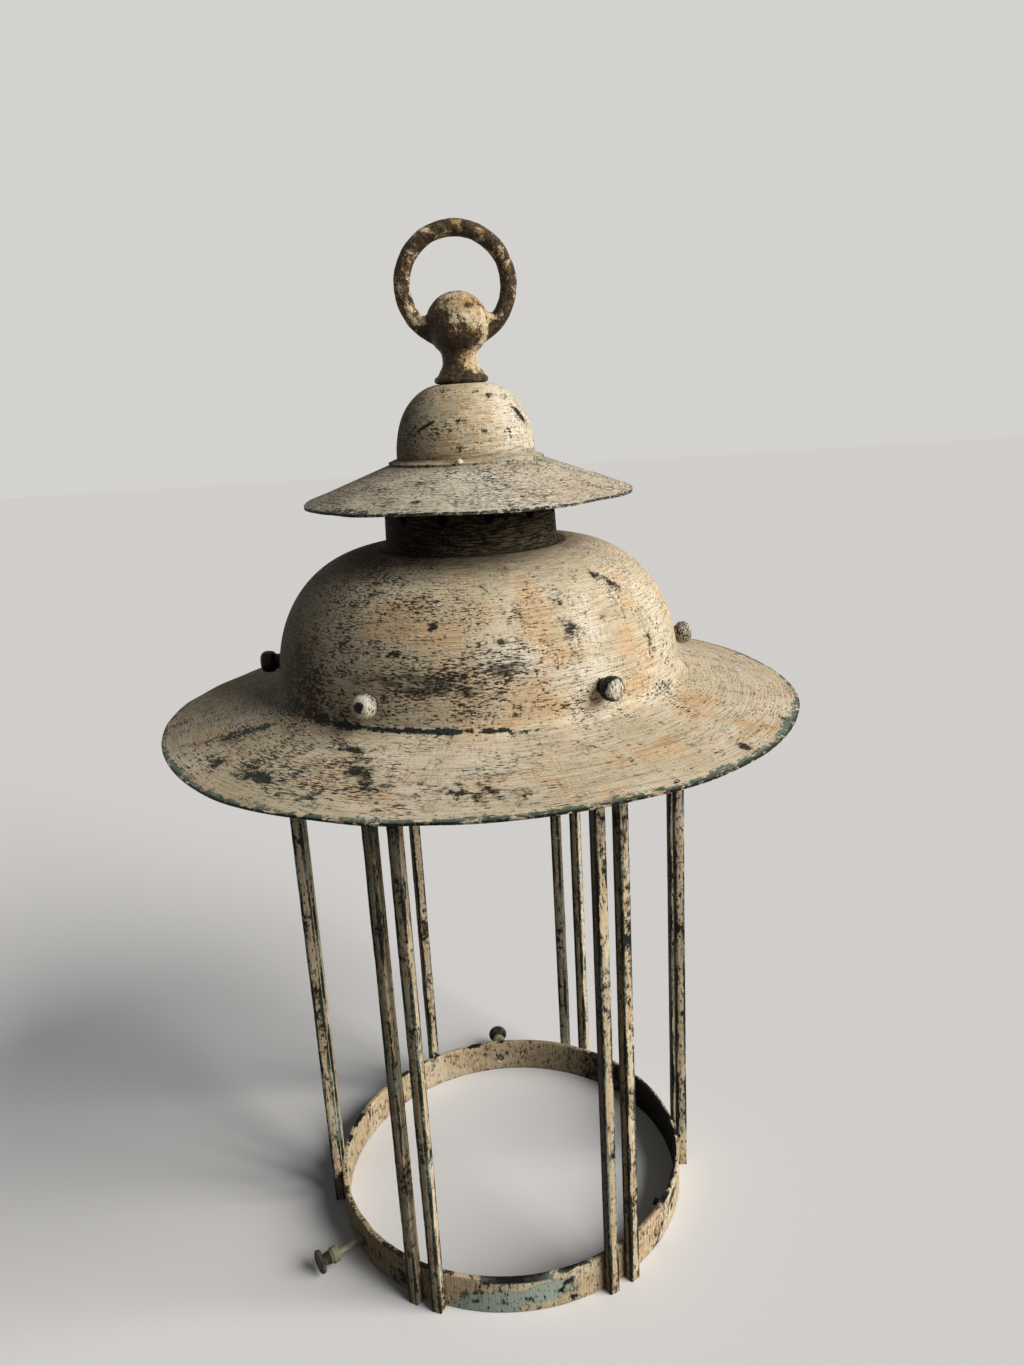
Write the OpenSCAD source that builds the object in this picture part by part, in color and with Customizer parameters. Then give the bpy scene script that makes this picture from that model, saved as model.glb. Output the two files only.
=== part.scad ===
// Outdoor pendant lantern: a spun metal hood with a vented neck under a rain cap,
// hung from a cast eye, over an open cage of paired square bars between two bands.
// Millimetres, Z up, front towards -Y. The cage stands on its lower band at Z = 0,
// centred on the origin. Azimuths are counted from the front towards +X.

/* [Cage] */
// Outside diameter of the two cage bands
band_d = 211; // [190:1:220]
// Thickness of the band strip
band_t = 3; // [2:0.5:4]
// Height of the lower band
low_band_h = 22; // [18:1:30]
// Height of the upper band, which stands up inside the hood
top_band_h = 40; // [36:1:50]
// How far the upper band rises above the ends of the bars
top_band_rise = 20; // [19:0.5:22]
// How far the upper band leans in above the bars, to fit inside the dome
top_lean = 0.9; // [0.9:0.1:2]
// Side of the square cage bars
bar_w = 6; // [5:0.5:7]
// Clear gap between the two bars of a pair
pair_gap = 8.3; // [4:0.1:14]
// Length of the bars, from the foot to the underside of the brim
bar_l = 329.5; // [260:0.5:400]

/* [Hood] */
// Thickness of the spun sheet
hood_t = 1.2; // [0.8:0.1:1.6]
// Outside diameter of the brim
brim_d = 340; // [300:1:380]
// Fall of the brim from the dome to its edge
brim_fall = 14.5; // [8:0.1:20]
// Radius of the sweep where the brim turns up into the dome
root_r = 7; // [4:0.5:8]
// Radial space between the upper band and the inside of the hood
hood_gap = 0.5; // [0.4:0.1:2]
// Height of the dome above its straight foot
dome_h = 72.7; // [60:0.1:85]
// Fullness of the dome, where 2 is a true ellipse
dome_full = 2.12; // [2:0.01:2.3]
// Outside diameter of the neck where it leaves the dome
neck_d = 90.4; // [84:0.1:96]
// Outside diameter of the neck at its top
neck_top_d = 87.6; // [80:0.1:92]
// Height of the neck above the dome
neck_h = 40; // [34:1:50]
// Radius of the turn from dome to neck
shoulder_r = 4; // [2:0.5:6]
// Diameter of the round vents in the neck
vent_d = 5.5; // [4:0.5:8]
// Number of vents
vent_count = 12; // [6:1:16]
// Depth of the vent centres below the top of the neck
vent_drop = 22.5; // [15:0.5:28]

/* [Rain cap and crown] */
// Outside diameter of the rain cap
cap_d = 170.8; // [140:1:200]
// Thickness of the cap sheet
cap_t = 1.2; // [0.8:0.1:1.6]
// Slope of the cap in degrees
cap_slope = 20.7; // [14:0.1:26]
// Outside diameter of the crown over the cap
crown_d = 71.8; // [64:0.1:78]
// Height of the crown's rounded part
crown_h = 35.2; // [28:0.1:42]
// Fullness of the crown, where 2 is a true ellipse
crown_full = 2.1; // [2:0.05:2.4]
// Diameter of the flat seat on top of the crown
seat_d = 20; // [18:1:26]
// Thickness of the crown sheet
crown_t = 1.2; // [0.8:0.1:1.6]
// Width of the crown's turned-out lip
lip_w = 4.6; // [4.4:0.1:6]
// Radius of the turn between crown and lip
lip_turn = 0.8; // [0.5:0.1:1.5]
// Number of rivets through the lip
rivets = 3; // [3:1:3]
// Diameter of the rivet heads
rivet_d = 3.6; // [3:0.1:4]
// Height of the rivet heads
rivet_h = 1.5; // [1:0.1:2]
// Diameter of the rivet shanks
rivet_shank = 2; // [1.6:0.1:2.4]

/* [Hanging eye] */
// Diameter of the ring, measured to the middle of its rod
ring_d = 53.1; // [44:0.1:64]
// Diameter of the ring's rod
ring_rod = 8.3; // [6:0.1:10]
// Diameter of the ball under the ring
ball_d = 31.8; // [28:0.1:36]
// Height of the ball's centre above the crown
ball_rise = 28.5; // [26:0.1:34]
// Height of the ring's centre above the ball's centre
ring_rise = 18.5; // [14:0.1:24]
// Diameter of the neck below the ball
eye_neck = 18; // [15:0.5:20]
// Diameter of the foot that bears on the crown
eye_foot = 27.8; // [26:0.1:32]
// Thickness of the foot's round rim
eye_foot_t = 3.6; // [2.5:0.1:4.5]
// Radius of the sweep from the ball into its neck
ball_sweep = 5; // [2:0.5:6]
// Radius of the casting inside the ball from which it tapers into the ring
ring_root = 9; // [7:0.5:11]

/* [Stud and bridge] */
// Diameter of the threaded stud
stud_d = 8; // [6:1:10]
// Depth of the tapped hole in the eye
stud_bite = 14; // [10:1:16]
// Space left at the end of that hole
stud_gap = 1; // [0.5:0.5:3]
// Across flats of the stud's nut
nut_af = 13; // [12:0.5:17]
// Height of the nut
nut_h = 6.5; // [5:0.5:8]
// Diameter of the washer
washer_d = 18; // [16:1:24]
// Thickness of the washer
washer_t = 1.6; // [1:0.1:2.5]
// Length of the bridge strap across the inside of the dome
bridge_l = 144; // [120:1:160]
// Width of the bridge strap
bridge_w = 18; // [14:1:24]
// Thickness of the bridge strap
bridge_t = 3; // [2:0.5:4]

/* [Lampholder] */
// Outside diameter of the porcelain
holder_d = 42; // [38:1:48]
// Height of the porcelain cap
holder_cap_h = 14.7; // [12:0.1:20]
// Diameter of the flat on top of the cap, under the nut
holder_seat_d = 20.8; // [19:0.1:26]
// Depth of the stud in the cap
holder_bite = 7.4; // [6:0.1:10]
// Height of the cap's straight foot
holder_skirt = 2.9; // [1:0.1:5]
// Height of the porcelain body
holder_h = 36; // [34:1:40]
// How far the lower part of the body is set back
holder_step = 2; // [1:0.5:3]
// Height of the groove round the body
groove_z = 20; // [10:1:26]
// Width of the groove
groove_h = 3; // [2:0.5:5]
// Outside diameter of the brass screw shell
shell_d = 28.8; // [27:0.1:30]
// Thickness of the shell
shell_t = 0.8; // [0.5:0.1:1.2]
// Depth of the socket
socket_h = 30; // [28:1:32]
// Distance of the shell from the mouth of the socket
shell_set = 2; // [1:0.5:4]
// Diameter of the centre contact
contact_d = 9; // [7:0.5:12]
// Height of the centre contact
contact_h = 2.5; // [1.5:0.1:4]

/* [Hood screws] */
// Diameter of the screws that hold the hood to the cage
screw_d = 5; // [4:0.5:6]
// Height of the screws above the ends of the bars
screw_rise = 16.2; // [15:0.1:17]
// How far the screw points pass the inside of the band
screw_past = 2; // [0.5:0.5:4]
// Diameter of the turned heads
knob_d = 12; // [10:0.5:14]
// Length of the turned heads
knob_l = 9; // [8:0.5:12]
// Radius of the rounded edges of the heads
knob_edge = 3; // [2:0.5:3.5]
// Diameter of the short collar behind a head
knob_neck = 8; // [7:0.5:9]
// Length of that collar
knob_neck_l = 1.5; // [1:0.5:2]
// Rise of the slightly domed end of the heads
knob_dome = 0.4; // [0:0.1:1]

/* [Glass screws] */
// Diameter of the screws in the lower band
pin_d = 4.2; // [3:0.1:5]
// Height of their holes above the foot
pin_z = 9; // [8:0.5:11]
// Distance that they are screwed out, from the band to their collars
pin_out = 15.6; // [10:0.1:20]
// Length of the collar
pin_collar_l = 4.2; // [3:0.1:6]
// Diameter of the collar
pin_collar = 9.2; // [8:0.1:11]
// Length of the waist between collar and disc
pin_waist_l = 5.6; // [4:0.1:8]
// Diameter of the thin end of the waist
pin_waist = 6; // [5:0.1:7]
// Diameter of the disc that the fingers turn
pin_disc = 13; // [10:0.1:16]
// Thickness of the disc
pin_disc_t = 2.4; // [1.5:0.1:3.5]
// How far the broken stub stands out inside the band
stub_in = 8; // [4:0.5:12]
// Diameter of the countersinks round the screw holes
sink_d = 7.6; // [6:0.1:9]
// Depth of those countersinks
sink_t = 1; // [0.5:0.1:1.5]

/* [Hidden] */

$fn = 96;
eps = 0.01;
// A cut reaches this far past the face that it opens
over = 5;
// Radial clearance of a screw in its hole
running = 0.1;
// Radial clearance of a fixed shank in its hole
snug = 0.05;
// Space left between a screw's head and the sheet behind it
head_gap = 0.3;
// Points along a spun curve
curve_n = 26;
// Points along a small turn
turn_n = 8;
// Degrees round the ring in which the metal of the ball runs out into its rod
run_out = 10;
// Degrees of the rounded edge of a screw's head, before its domed end
knob_turn = 75;
// Chamfer on the points of the screws
point = 0.7;
// Rounding of the small edges of turned pieces
edge = 0.7;
pairs = 6;
pair_step = 360 / pairs;
pins = 3;
pin_step = 360 / pins;
// Azimuths of the first bar pair, glass screw, vent and rivet
first_pair = -30;
first_pin = -60;
first_vent = 10;
first_rivet = -7;
// Lean and turn in degrees of the three faces of the stub's torn end
tears = [[38, 20], [-52, 140], [30, 250]];

band_r = band_d / 2;
band_in = band_r - band_t;
bar_mid = band_r + bar_w / 2;
half_pair = asin((pair_gap + bar_w) / 2 / bar_mid);
bar_face = sqrt(pow(band_r, 2) - pow(bar_w / 2, 2));
top_band_z = bar_l + top_band_rise - top_band_h;

// Hood heights, worked up from the ends of the bars, which the brim rests on
brim_r = brim_d / 2;
dome_r = band_r + hood_gap + hood_t;
brim_a = atan(brim_fall / (brim_r - dome_r));
bar_out = bar_face + bar_w;
root_z = bar_l + hood_t / cos(brim_a) + (bar_out - dome_r) * tan(brim_a);
edge_z = root_z - brim_fall;
root_cz = root_z - root_r * tan(brim_a) + root_r / cos(brim_a);
dome_z = max(root_cz, root_z);
shoulder_z = dome_z + dome_h - root_r;
neck_r = neck_d / 2;
neck_top_r = neck_top_d / 2;
dome_in_r = neck_r + shoulder_r;
neck_z = shoulder_z + neck_h;
vent_z = neck_z - vent_drop;
screw_z = bar_l + screw_rise;

// Cap heights, from the neck's top edge, which the cap rests on
cap_r = cap_d / 2;
cap_tv = cap_t / cos(cap_slope);
crown_r = crown_d / 2;
crown_tv = crown_t / cos(cap_slope);
crown_root_z = cap_under(crown_r) + cap_tv + crown_tv;
crown_cz = crown_root_z - lip_turn * tan(cap_slope) + lip_turn / cos(cap_slope);
crown_top = crown_cz + crown_h;
rivet_r = crown_r + (lip_w + lip_turn) / 2;

// The stack that hangs from the bridge strap
bridge_z = shoulder_z - hood_t;
washer_z = bridge_z - bridge_t - washer_t;
nut_z = washer_z - nut_h;
holder_z = nut_z - holder_cap_h - holder_h;
stud_low = nut_z - holder_bite;

// Height of the underside of the rain cap at radius r
function cap_under(r) = neck_z + (neck_top_r - r) * tan(cap_slope);

// Points on an arc from angle a to angle b
function arc(x, z, r, a, b, n) =
    [for (i = [0:n]) let (t = a + (b - a) * i / n) [x + r * cos(t), z + r * sin(t)]];

// Quarter of a full ellipse, from (big, low) to (small, low + high)
function swell(big, small, low, high, full, n) =
    [for (i = [0:n]) let (t = 90 * i / n)
        [small + (big - small) * pow(cos(t), 2 / full), low + high * pow(sin(t), 2 / full)]];

// Outside radius of the dome at height z
function dome_at(z) =
    let (u = max(0, z - dome_z) / (shoulder_z - dome_z))
    dome_in_r + (dome_r - dome_in_r) * pow(1 - pow(u, dome_full), 1 / dome_full);

// Unit vector along a path at point i
function heading(path, i) =
    let (d = path[min(i + 1, len(path) - 1)] - path[max(i - 1, 0)]) d / norm(d);

// The same path moved to the left by a sheet's thickness
function inside(path, t) =
    [for (i = [0:len(path) - 1]) let (d = heading(path, i)) path[i] + t * [-d[1], d[0]]];

function reversed(path) = [for (i = [len(path) - 1:-1:0]) path[i]];

// Outer face of the hood, from the brim's edge up to the neck, without its top edge
hood_face = concat(
    [[brim_r, edge_z]],
    arc(dome_r + root_r, root_cz, root_r, 270 - brim_a, 180, turn_n),
    [for (p = swell(dome_r, dome_in_r, dome_z, shoulder_z - dome_z, dome_full, curve_n))
        if (p[1] > dome_z + eps && p[0] > dome_in_r + eps) p],
    arc(dome_in_r, shoulder_z + shoulder_r, shoulder_r, 270, 180, turn_n));
hood_lining = inside(hood_face, hood_t);

// Outer face of the crown, from its lip up to the hole for the stud
crown_lip_r = crown_r + lip_w;
crown_face = concat(
    [[crown_lip_r, cap_under(crown_lip_r) + cap_tv + crown_tv]],
    arc(crown_r + lip_turn, crown_cz, lip_turn, 270 - cap_slope, 180, turn_n),
    [for (p = swell(crown_r, seat_d / 2, crown_cz, crown_h, crown_full, curve_n))
        if (p[1] > crown_cz + eps) p],
    [[stud_d / 2 + running, crown_top]]);

// Puts a piece that is modelled along +X at an azimuth counted from the front
module at_azimuth(a) {
    rotate([0, 0, a - 90]) children();
}

// A straight hole or shank along the radius, from r1 to r2 at height z
module radial_rod(r, r1, r2, z) {
    translate([r1, 0, z]) rotate([0, 90, 0]) cylinder(r = r, h = r2 - r1);
}

// A revolved piece whose profile is drawn as distance along X against radius
module turned_x(x, z, profile) {
    translate([x, 0, z]) rotate([0, 90, 0]) rotate_extrude() polygon(profile);
}

// Cast in one piece: foot, neck, ball and ring
module hanging_eye() {
    ball_r = ball_d / 2;
    neck = eye_neck / 2;
    rim = eye_foot_t / 2;
    rim_x = eye_foot / 2 - rim;
    cove = rim_x - neck;
    sweep_x = neck + ball_sweep;
    sweep_z = ball_rise - sqrt(pow(ball_r + ball_sweep, 2) - pow(sweep_x, 2));
    stem = concat(
        [[0, 0]],
        arc(rim_x, rim, rim, -90, 90, turn_n),
        arc(rim_x, eye_foot_t + cove, cove, 270, 180, turn_n),
        arc(sweep_x, sweep_z, ball_sweep, 180, atan2(ball_rise - sweep_z, -sweep_x), turn_n),
        [[0, ball_rise]]);
    color("#4a3f33") translate([0, 0, crown_top]) difference() {
        union() {
            rotate_extrude() polygon(stem);
            translate([0, 0, ball_rise]) {
                sphere(r = ball_r);
                for (side = [-1, 1]) ring_taper(side, ball_r);
                translate([0, 0, ring_rise]) rotate([90, 0, 0])
                    rotate_extrude() translate([ring_d / 2, 0]) circle(r = ring_rod / 2);
            }
        }
        translate([0, 0, -over]) cylinder(r = stud_d / 2 + snug, h = stud_bite + over);
    }
}

// Metal that tapers from the ball into the ring, on one side of the eye
module ring_taper(side, ball_r) {
    mid = ring_d / 2;
    // Azimuth round the ring, from its lowest point, where its rod leaves the ball
    leave = acos((pow(mid, 2) + pow(ring_rise, 2) - pow(ball_r, 2)) / (2 * mid * ring_rise));
    end = [mid * sin(leave + run_out), ring_rise - mid * cos(leave + run_out)];
    rotate([0, side * atan2(end[0], end[1]), 0])
        cylinder(r1 = ring_root, r2 = ring_rod / 2 - snug, h = norm(end));
}

// Spun crown with a flat seat for the eye and a lip that lies on the cap
module crown() {
    color("#b3a78d") difference() {
        rotate_extrude() polygon(concat(crown_face, reversed(inside(crown_face, crown_t))));
        for (i = [0:rivets - 1]) rivet_place(i) rivet_hole();
    }
}

// Cone of sheet that keeps the rain off the vents
module rain_cap() {
    hole_r = crown_r - lip_w;
    color("#b3a78d") difference() {
        rotate_extrude() polygon([
            [hole_r, cap_under(hole_r)], [cap_r, cap_under(cap_r)],
            [cap_r, cap_under(cap_r) + cap_tv], [hole_r, cap_under(hole_r) + cap_tv]]);
        for (i = [0:rivets - 1]) rivet_place(i) rivet_hole();
    }
}

// Stands children on the crown's lip, square to its slope, at rivet i
module rivet_place(i) {
    at_azimuth(first_rivet + i * 360 / rivets)
        translate([rivet_r, 0, cap_under(rivet_r) + cap_tv + crown_tv])
            rotate([0, cap_slope, 0]) children();
}

module rivet_hole() {
    translate([0, 0, -over]) cylinder(r = rivet_shank / 2 + snug, h = 2 * over);
}

// Rivet with a round head outside and a low set head, just clear of the hollow cap, below
module crown_rivet(i) {
    grip = crown_t + cap_t + snug;
    head_r = rivet_d / 2;
    set_h = rivet_h / 2;
    color("#6d6250") rivet_place(i - 1) rotate_extrude() polygon(concat(
        [[0, -grip - set_h], [head_r - set_h / 2, -grip - set_h], [head_r, -grip],
            [rivet_shank / 2, -grip], [rivet_shank / 2, 0], [head_r, 0]],
        [for (i = [1:turn_n]) let (t = 90 * i / turn_n) [head_r * cos(t), rivet_h * sin(t)]]));
}

// Spun in one piece: brim, dome and neck, with vents and six screw holes
module hood() {
    top_in_r = neck_top_r - hood_t;
    color("#b9ab8e") difference() {
        rotate_extrude() polygon(concat(
            hood_face,
            [[neck_top_r, cap_under(neck_top_r)], [top_in_r, cap_under(top_in_r)]],
            reversed(hood_lining)));
        for (i = [0:vent_count - 1])
            at_azimuth(first_vent + i * 360 / vent_count)
                radial_rod(vent_d / 2, neck_top_r - hood_t - over, neck_r + over, vent_z);
        for (i = [0:pairs - 1])
            at_azimuth(first_pair + i * pair_step)
                radial_rod(screw_d / 2 + running, band_in, dome_r + over, screw_z);
    }
}

// Strap under the shoulder of the dome, bent to the dome, that the stud pulls up against
module bridge_strap() {
    reach = [for (p = reversed(hood_lining))
        if (p[1] <= bridge_z + eps && p[0] > neck_r + shoulder_r / 2 && p[1] > dome_z) p];
    top = concat([[0, bridge_z]], reach);
    under = [for (i = [0:len(top) - 1])
        let (d = heading(top, i)) top[i] + bridge_t * (i == 0 ? [0, -1] : [d[1], -d[0]])];
    color("#5b5348") difference() {
        intersection() {
            rotate_extrude() polygon(concat(top, reversed(under)));
            translate([-bridge_l / 2, -bridge_w / 2, bridge_z - bridge_l / 2])
                cube([bridge_l, bridge_w, bridge_l]);
        }
        translate([0, 0, bridge_z - 2 * over]) cylinder(r = stud_d / 2 + running, h = 4 * over);
    }
}

module hanging_stud() {
    color("#6e655a") translate([0, 0, stud_low])
        cylinder(r = stud_d / 2, h = crown_top + stud_bite - stud_gap - stud_low);
}

module stud_washer() {
    color("#6e655a") translate([0, 0, washer_z]) difference() {
        cylinder(r = washer_d / 2, h = washer_t);
        translate([0, 0, -over]) cylinder(r = stud_d / 2 + running, h = washer_t + 2 * over);
    }
}

module stud_nut() {
    color("#6e655a") translate([0, 0, nut_z]) difference() {
        cylinder(d = nut_af / cos(30), h = nut_h, $fn = 6);
        translate([0, 0, -over]) cylinder(r = stud_d / 2 + snug, h = nut_h + 2 * over);
    }
}

// Porcelain cap that screws on to the lower end of the stud
module holder_cap() {
    r = holder_d / 2;
    color("#d9d4c6") translate([0, 0, holder_z + holder_h]) difference() {
        rotate_extrude() polygon(concat(
            [[0, 0], [r, 0]],
            swell(r, holder_seat_d / 2, holder_skirt, holder_cap_h - holder_skirt, 2, turn_n),
            [[0, holder_cap_h]]));
        translate([0, 0, holder_cap_h - holder_bite - stud_gap])
            cylinder(r = stud_d / 2 + snug, h = holder_bite + stud_gap + over);
    }
}

// Porcelain body, open below for the lamp, with one groove round it
module holder_body() {
    r = holder_d / 2;
    low_r = r - holder_step;
    color("#d9d4c6") translate([0, 0, holder_z]) difference() {
        rotate_extrude() polygon([
            [0, 0], [low_r - edge, 0], [low_r, edge], [low_r, groove_z], [low_r - edge, groove_z + edge],
            [low_r - edge, groove_z + groove_h], [r, groove_z + groove_h + holder_step + edge],
            [r, holder_h], [0, holder_h]]);
        translate([0, 0, -over]) cylinder(r = shell_d / 2 + running, h = socket_h + over);
    }
}

// Brass shell that takes the lamp's thread
module holder_shell() {
    h = socket_h - shell_set;
    color("#a8853c") translate([0, 0, holder_z + shell_set]) difference() {
        cylinder(r = shell_d / 2, h = h);
        translate([0, 0, -over]) cylinder(r = shell_d / 2 - shell_t, h = h + 2 * over);
    }
}

// Brass contact at the bottom of the socket
module holder_contact() {
    r = contact_d / 2;
    color("#a8853c") translate([0, 0, holder_z + socket_h - contact_h]) rotate_extrude()
        polygon([[0, 0], [r / 2, 0], [r, contact_h / 2], [r, contact_h], [0, contact_h]]);
}

// Upper band, which leans in above the bars, tapped for the six hood screws
module top_band() {
    top_z = top_band_z + top_band_h;
    color("#a4977c") difference() {
        rotate_extrude() polygon([
            [band_in, top_band_z], [band_r, top_band_z], [band_r, bar_l], [band_r - top_lean, top_z],
            [band_in - top_lean, top_z], [band_in, bar_l]]);
        for (i = [0:pairs - 1])
            at_azimuth(first_pair + i * pair_step)
                radial_rod(screw_d / 2 + running, band_in - over, band_r + over, screw_z);
    }
}

// Lower band, which the lantern stands on, tapped for three glass screws
module low_band() {
    color("#a4977c") difference() {
        cylinder(r = band_r, h = low_band_h);
        translate([0, 0, -over]) cylinder(r = band_in, h = low_band_h + 2 * over);
        for (i = [0:pins - 1]) at_azimuth(first_pin + i * pin_step) {
            radial_rod(pin_d / 2 + running, band_in - over, band_r + over, pin_z);
            translate([band_r - sink_t, 0, pin_z]) rotate([0, 90, 0])
                cylinder(r1 = pin_d / 2, r2 = sink_d / 2, h = sink_t);
        }
    }
}

// Square bar, coped where it lies on the round bands: bars 1 and 2 are the first pair
module cage_bar(i) {
    side = i % 2 == 1 ? -1 : 1;
    a = first_pair + floor((i - 1) / 2) * pair_step + side * half_pair;
    color("#a4977c") difference() {
        at_azimuth(a) translate([bar_face, -bar_w / 2, 0]) cube([bar_w, bar_w, bar_l]);
        translate([0, 0, -over]) cylinder(r = band_r, h = low_band_h + over);
        translate([0, 0, top_band_z]) cylinder(r = band_r, h = top_band_h);
    }
}

// Screw with a turned round head, which holds the hood to the upper band
module hood_screw(i) {
    head_x = dome_at(screw_z - knob_neck / 2) + head_gap;
    neck = knob_neck / 2;
    r = knob_d / 2;
    far = knob_neck_l + knob_l;
    shank = head_x - band_in + screw_past;
    profile = concat(
        [[0, -shank], [screw_d / 2 - point, -shank], [screw_d / 2, -shank + point],
            [screw_d / 2, 0], [neck, 0], [neck, knob_neck_l]],
        arc(r - knob_edge / 2, knob_neck_l + knob_edge / 2, knob_edge / 2, -90, 0, turn_n),
        arc(r - knob_edge, far - knob_edge, knob_edge, 0, knob_turn, turn_n),
        [[0, far + knob_dome]]);
    color("#5a5342") at_azimuth(first_pair + (i - 1) * pair_step)
        turned_x(head_x, screw_z, profile);
}

// Long screw with a finger disc, standing out of the lower band as it was left
module glass_screw(i) {
    shank_r = pin_d / 2;
    collar = pin_collar / 2;
    waist_z = pin_collar_l + pin_waist_l;
    disc_x = pin_disc / 2 - edge;
    tip = pin_out + band_t - point;
    profile = concat(
        [[0, -tip], [shank_r - point, -tip], [shank_r, -tip + point], [shank_r, 0],
            [collar - edge, 0], [collar, edge], [collar, pin_collar_l - edge],
            [collar - edge, pin_collar_l], [pin_waist / 2, waist_z]],
        arc(disc_x, waist_z + edge, edge, -90, 0, turn_n),
        arc(disc_x, waist_z + pin_disc_t - edge, edge, 0, 90, turn_n),
        [[0, waist_z + pin_disc_t]]);
    color("#5a5342") at_azimuth(first_pin + (i - 1) * 2 * pin_step)
        turned_x(band_r + pin_out, pin_z, profile);
}

// What is left of the third glass screw: no head, and a torn end inside the band
module screw_stub() {
    r = pin_d / 2;
    color("#2f2a22") at_azimuth(first_pin + pin_step) difference() {
        radial_rod(r, band_in - stub_in, band_r - sink_t / 2, pin_z);
        for (tear = tears)
            translate([band_in - stub_in, 0, pin_z]) rotate([tear[1], 0, 0])
                rotate([0, tear[0], 0]) translate([-2 * r - edge, -2 * r, 0])
                    cube([2 * r, 4 * r, 4 * r]);
    }
}

hanging_eye();
crown();
rain_cap();
crown_rivet(1);  // crown_rivet_1
crown_rivet(2);  // crown_rivet_2
crown_rivet(3);  // crown_rivet_3
hood();
bridge_strap();
hanging_stud();
stud_washer();
stud_nut();
holder_cap();
holder_body();
holder_shell();
holder_contact();
top_band();
low_band();
cage_bar(1);  // cage_bar_1
cage_bar(2);  // cage_bar_2
cage_bar(3);  // cage_bar_3
cage_bar(4);  // cage_bar_4
cage_bar(5);  // cage_bar_5
cage_bar(6);  // cage_bar_6
cage_bar(7);  // cage_bar_7
cage_bar(8);  // cage_bar_8
cage_bar(9);  // cage_bar_9
cage_bar(10);  // cage_bar_10
cage_bar(11);  // cage_bar_11
cage_bar(12);  // cage_bar_12
hood_screw(1);  // hood_screw_1
hood_screw(2);  // hood_screw_2
hood_screw(3);  // hood_screw_3
hood_screw(4);  // hood_screw_4
hood_screw(5);  // hood_screw_5
hood_screw(6);  // hood_screw_6
glass_screw(1);  // glass_screw_1
glass_screw(2);  // glass_screw_2
screw_stub();
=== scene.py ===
import math

import bpy
import numpy as np
from mathutils import Matrix, Vector, noise


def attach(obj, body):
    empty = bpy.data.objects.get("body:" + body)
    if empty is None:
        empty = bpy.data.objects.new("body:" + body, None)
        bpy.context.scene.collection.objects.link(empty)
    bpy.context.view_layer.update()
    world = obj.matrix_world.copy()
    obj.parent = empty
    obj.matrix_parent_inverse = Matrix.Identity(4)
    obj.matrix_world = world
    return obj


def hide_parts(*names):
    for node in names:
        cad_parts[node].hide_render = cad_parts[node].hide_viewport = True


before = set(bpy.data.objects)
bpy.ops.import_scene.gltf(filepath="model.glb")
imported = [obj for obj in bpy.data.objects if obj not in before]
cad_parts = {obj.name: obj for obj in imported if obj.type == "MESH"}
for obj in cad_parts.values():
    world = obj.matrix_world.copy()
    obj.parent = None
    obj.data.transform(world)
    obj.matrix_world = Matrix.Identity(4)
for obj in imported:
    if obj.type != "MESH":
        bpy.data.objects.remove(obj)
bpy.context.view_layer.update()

bpy.ops.object.select_all(action="DESELECT")

MM = 0.001
FIXED = "lantern"

# Floor and sky as they show, floor and sky as they light the lantern, and the lamp that shades the dome
FLOOR_SHOWN = "#e9eaec"
FLOOR_LIT = "#5c5b5a"
SKY_SHOWN = "#d4d2cf"
SKY_LIT = "#dfe3ea"
SKY_STRENGTH = 0.085
LAMP_COLOUR = "#fffaf3"
LAMP_STRENGTH = 4.5
LAMP_WIDTH = math.radians(45)
LAMP_SIDE = math.radians(62)
LAMP_HEIGHT = math.radians(30)

# The floor's width, and how far it lies under the lantern's foot, in metres
FLOOR_WIDTH = 12
FLOOR_DROP = 0.0001

# The photograph's height and the focal length that fits it, in its pixels
PHOTO_HEIGHT = 1365
FOCAL_PIXELS = 1025
SENSOR = 36.0

# Where the camera stood, in millimetres, and how its axes point
CAMERA_PLACE = (-17.8, -545.0, 480.5)
CAMERA_AIM = (0.06167, 0.95930, -0.27558)
CAMERA_RIGHT = (0.99542, -0.07932, -0.05334)

# Real sizes of the cage in millimetres, and its directions in degrees from the front
BAND_R = 105.5
BAND_T = 3.0
LOW_BAND_H = 22.0
BAR_W = 6.0
BAR_L = 329.5
BAR_GAP = 8.3
BAR_EDGE = 0.6
BAR_RINGS = 84
BAND_EDGE = 0.45
LAP_AT = -56.5
PAIRS = 6
PAIR_STEP = 360 / PAIRS
FIRST_PAIR = -30

# Real sizes of the spun pieces in millimetres, and their directions in degrees from the front
SHEET = 1.2
BRIM_R = 170.0
BRIM_FALL = 14.5
BRIM_BEND = 3.2
BEND_AT = -48
BEND_SPREAD = 24
ROOT_Z = 331.715
ROOT_R = 7.0
DOME_R = 107.2
DOME_IN_R = 49.2
DOME_LOW = 337.283
DOME_FULL = 2.12
SHOULDER_Z = 402.98
SHOULDER_R = 4.0
NECK_R = 45.2
NECK_TOP_R = 43.8
NECK_Z = 442.98
VENTS = 12
VENT_R = 2.75
VENT_Z = 420.48
FIRST_VENT = 10
CAP_R = 85.4
CAP_HOLE_R = 31.3
CAP_SLOPE = math.radians(20.7)
CROWN_R = 35.9
CROWN_LOW = 449.08
CROWN_H = 35.2
CROWN_FULL = 2.1
LIP_W = 4.6
LIP_TURN = 0.8
SEAT_R = 10.0
STUD_R = 4.0
PLAY = 0.1
DRILL_REACH = 6

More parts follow.
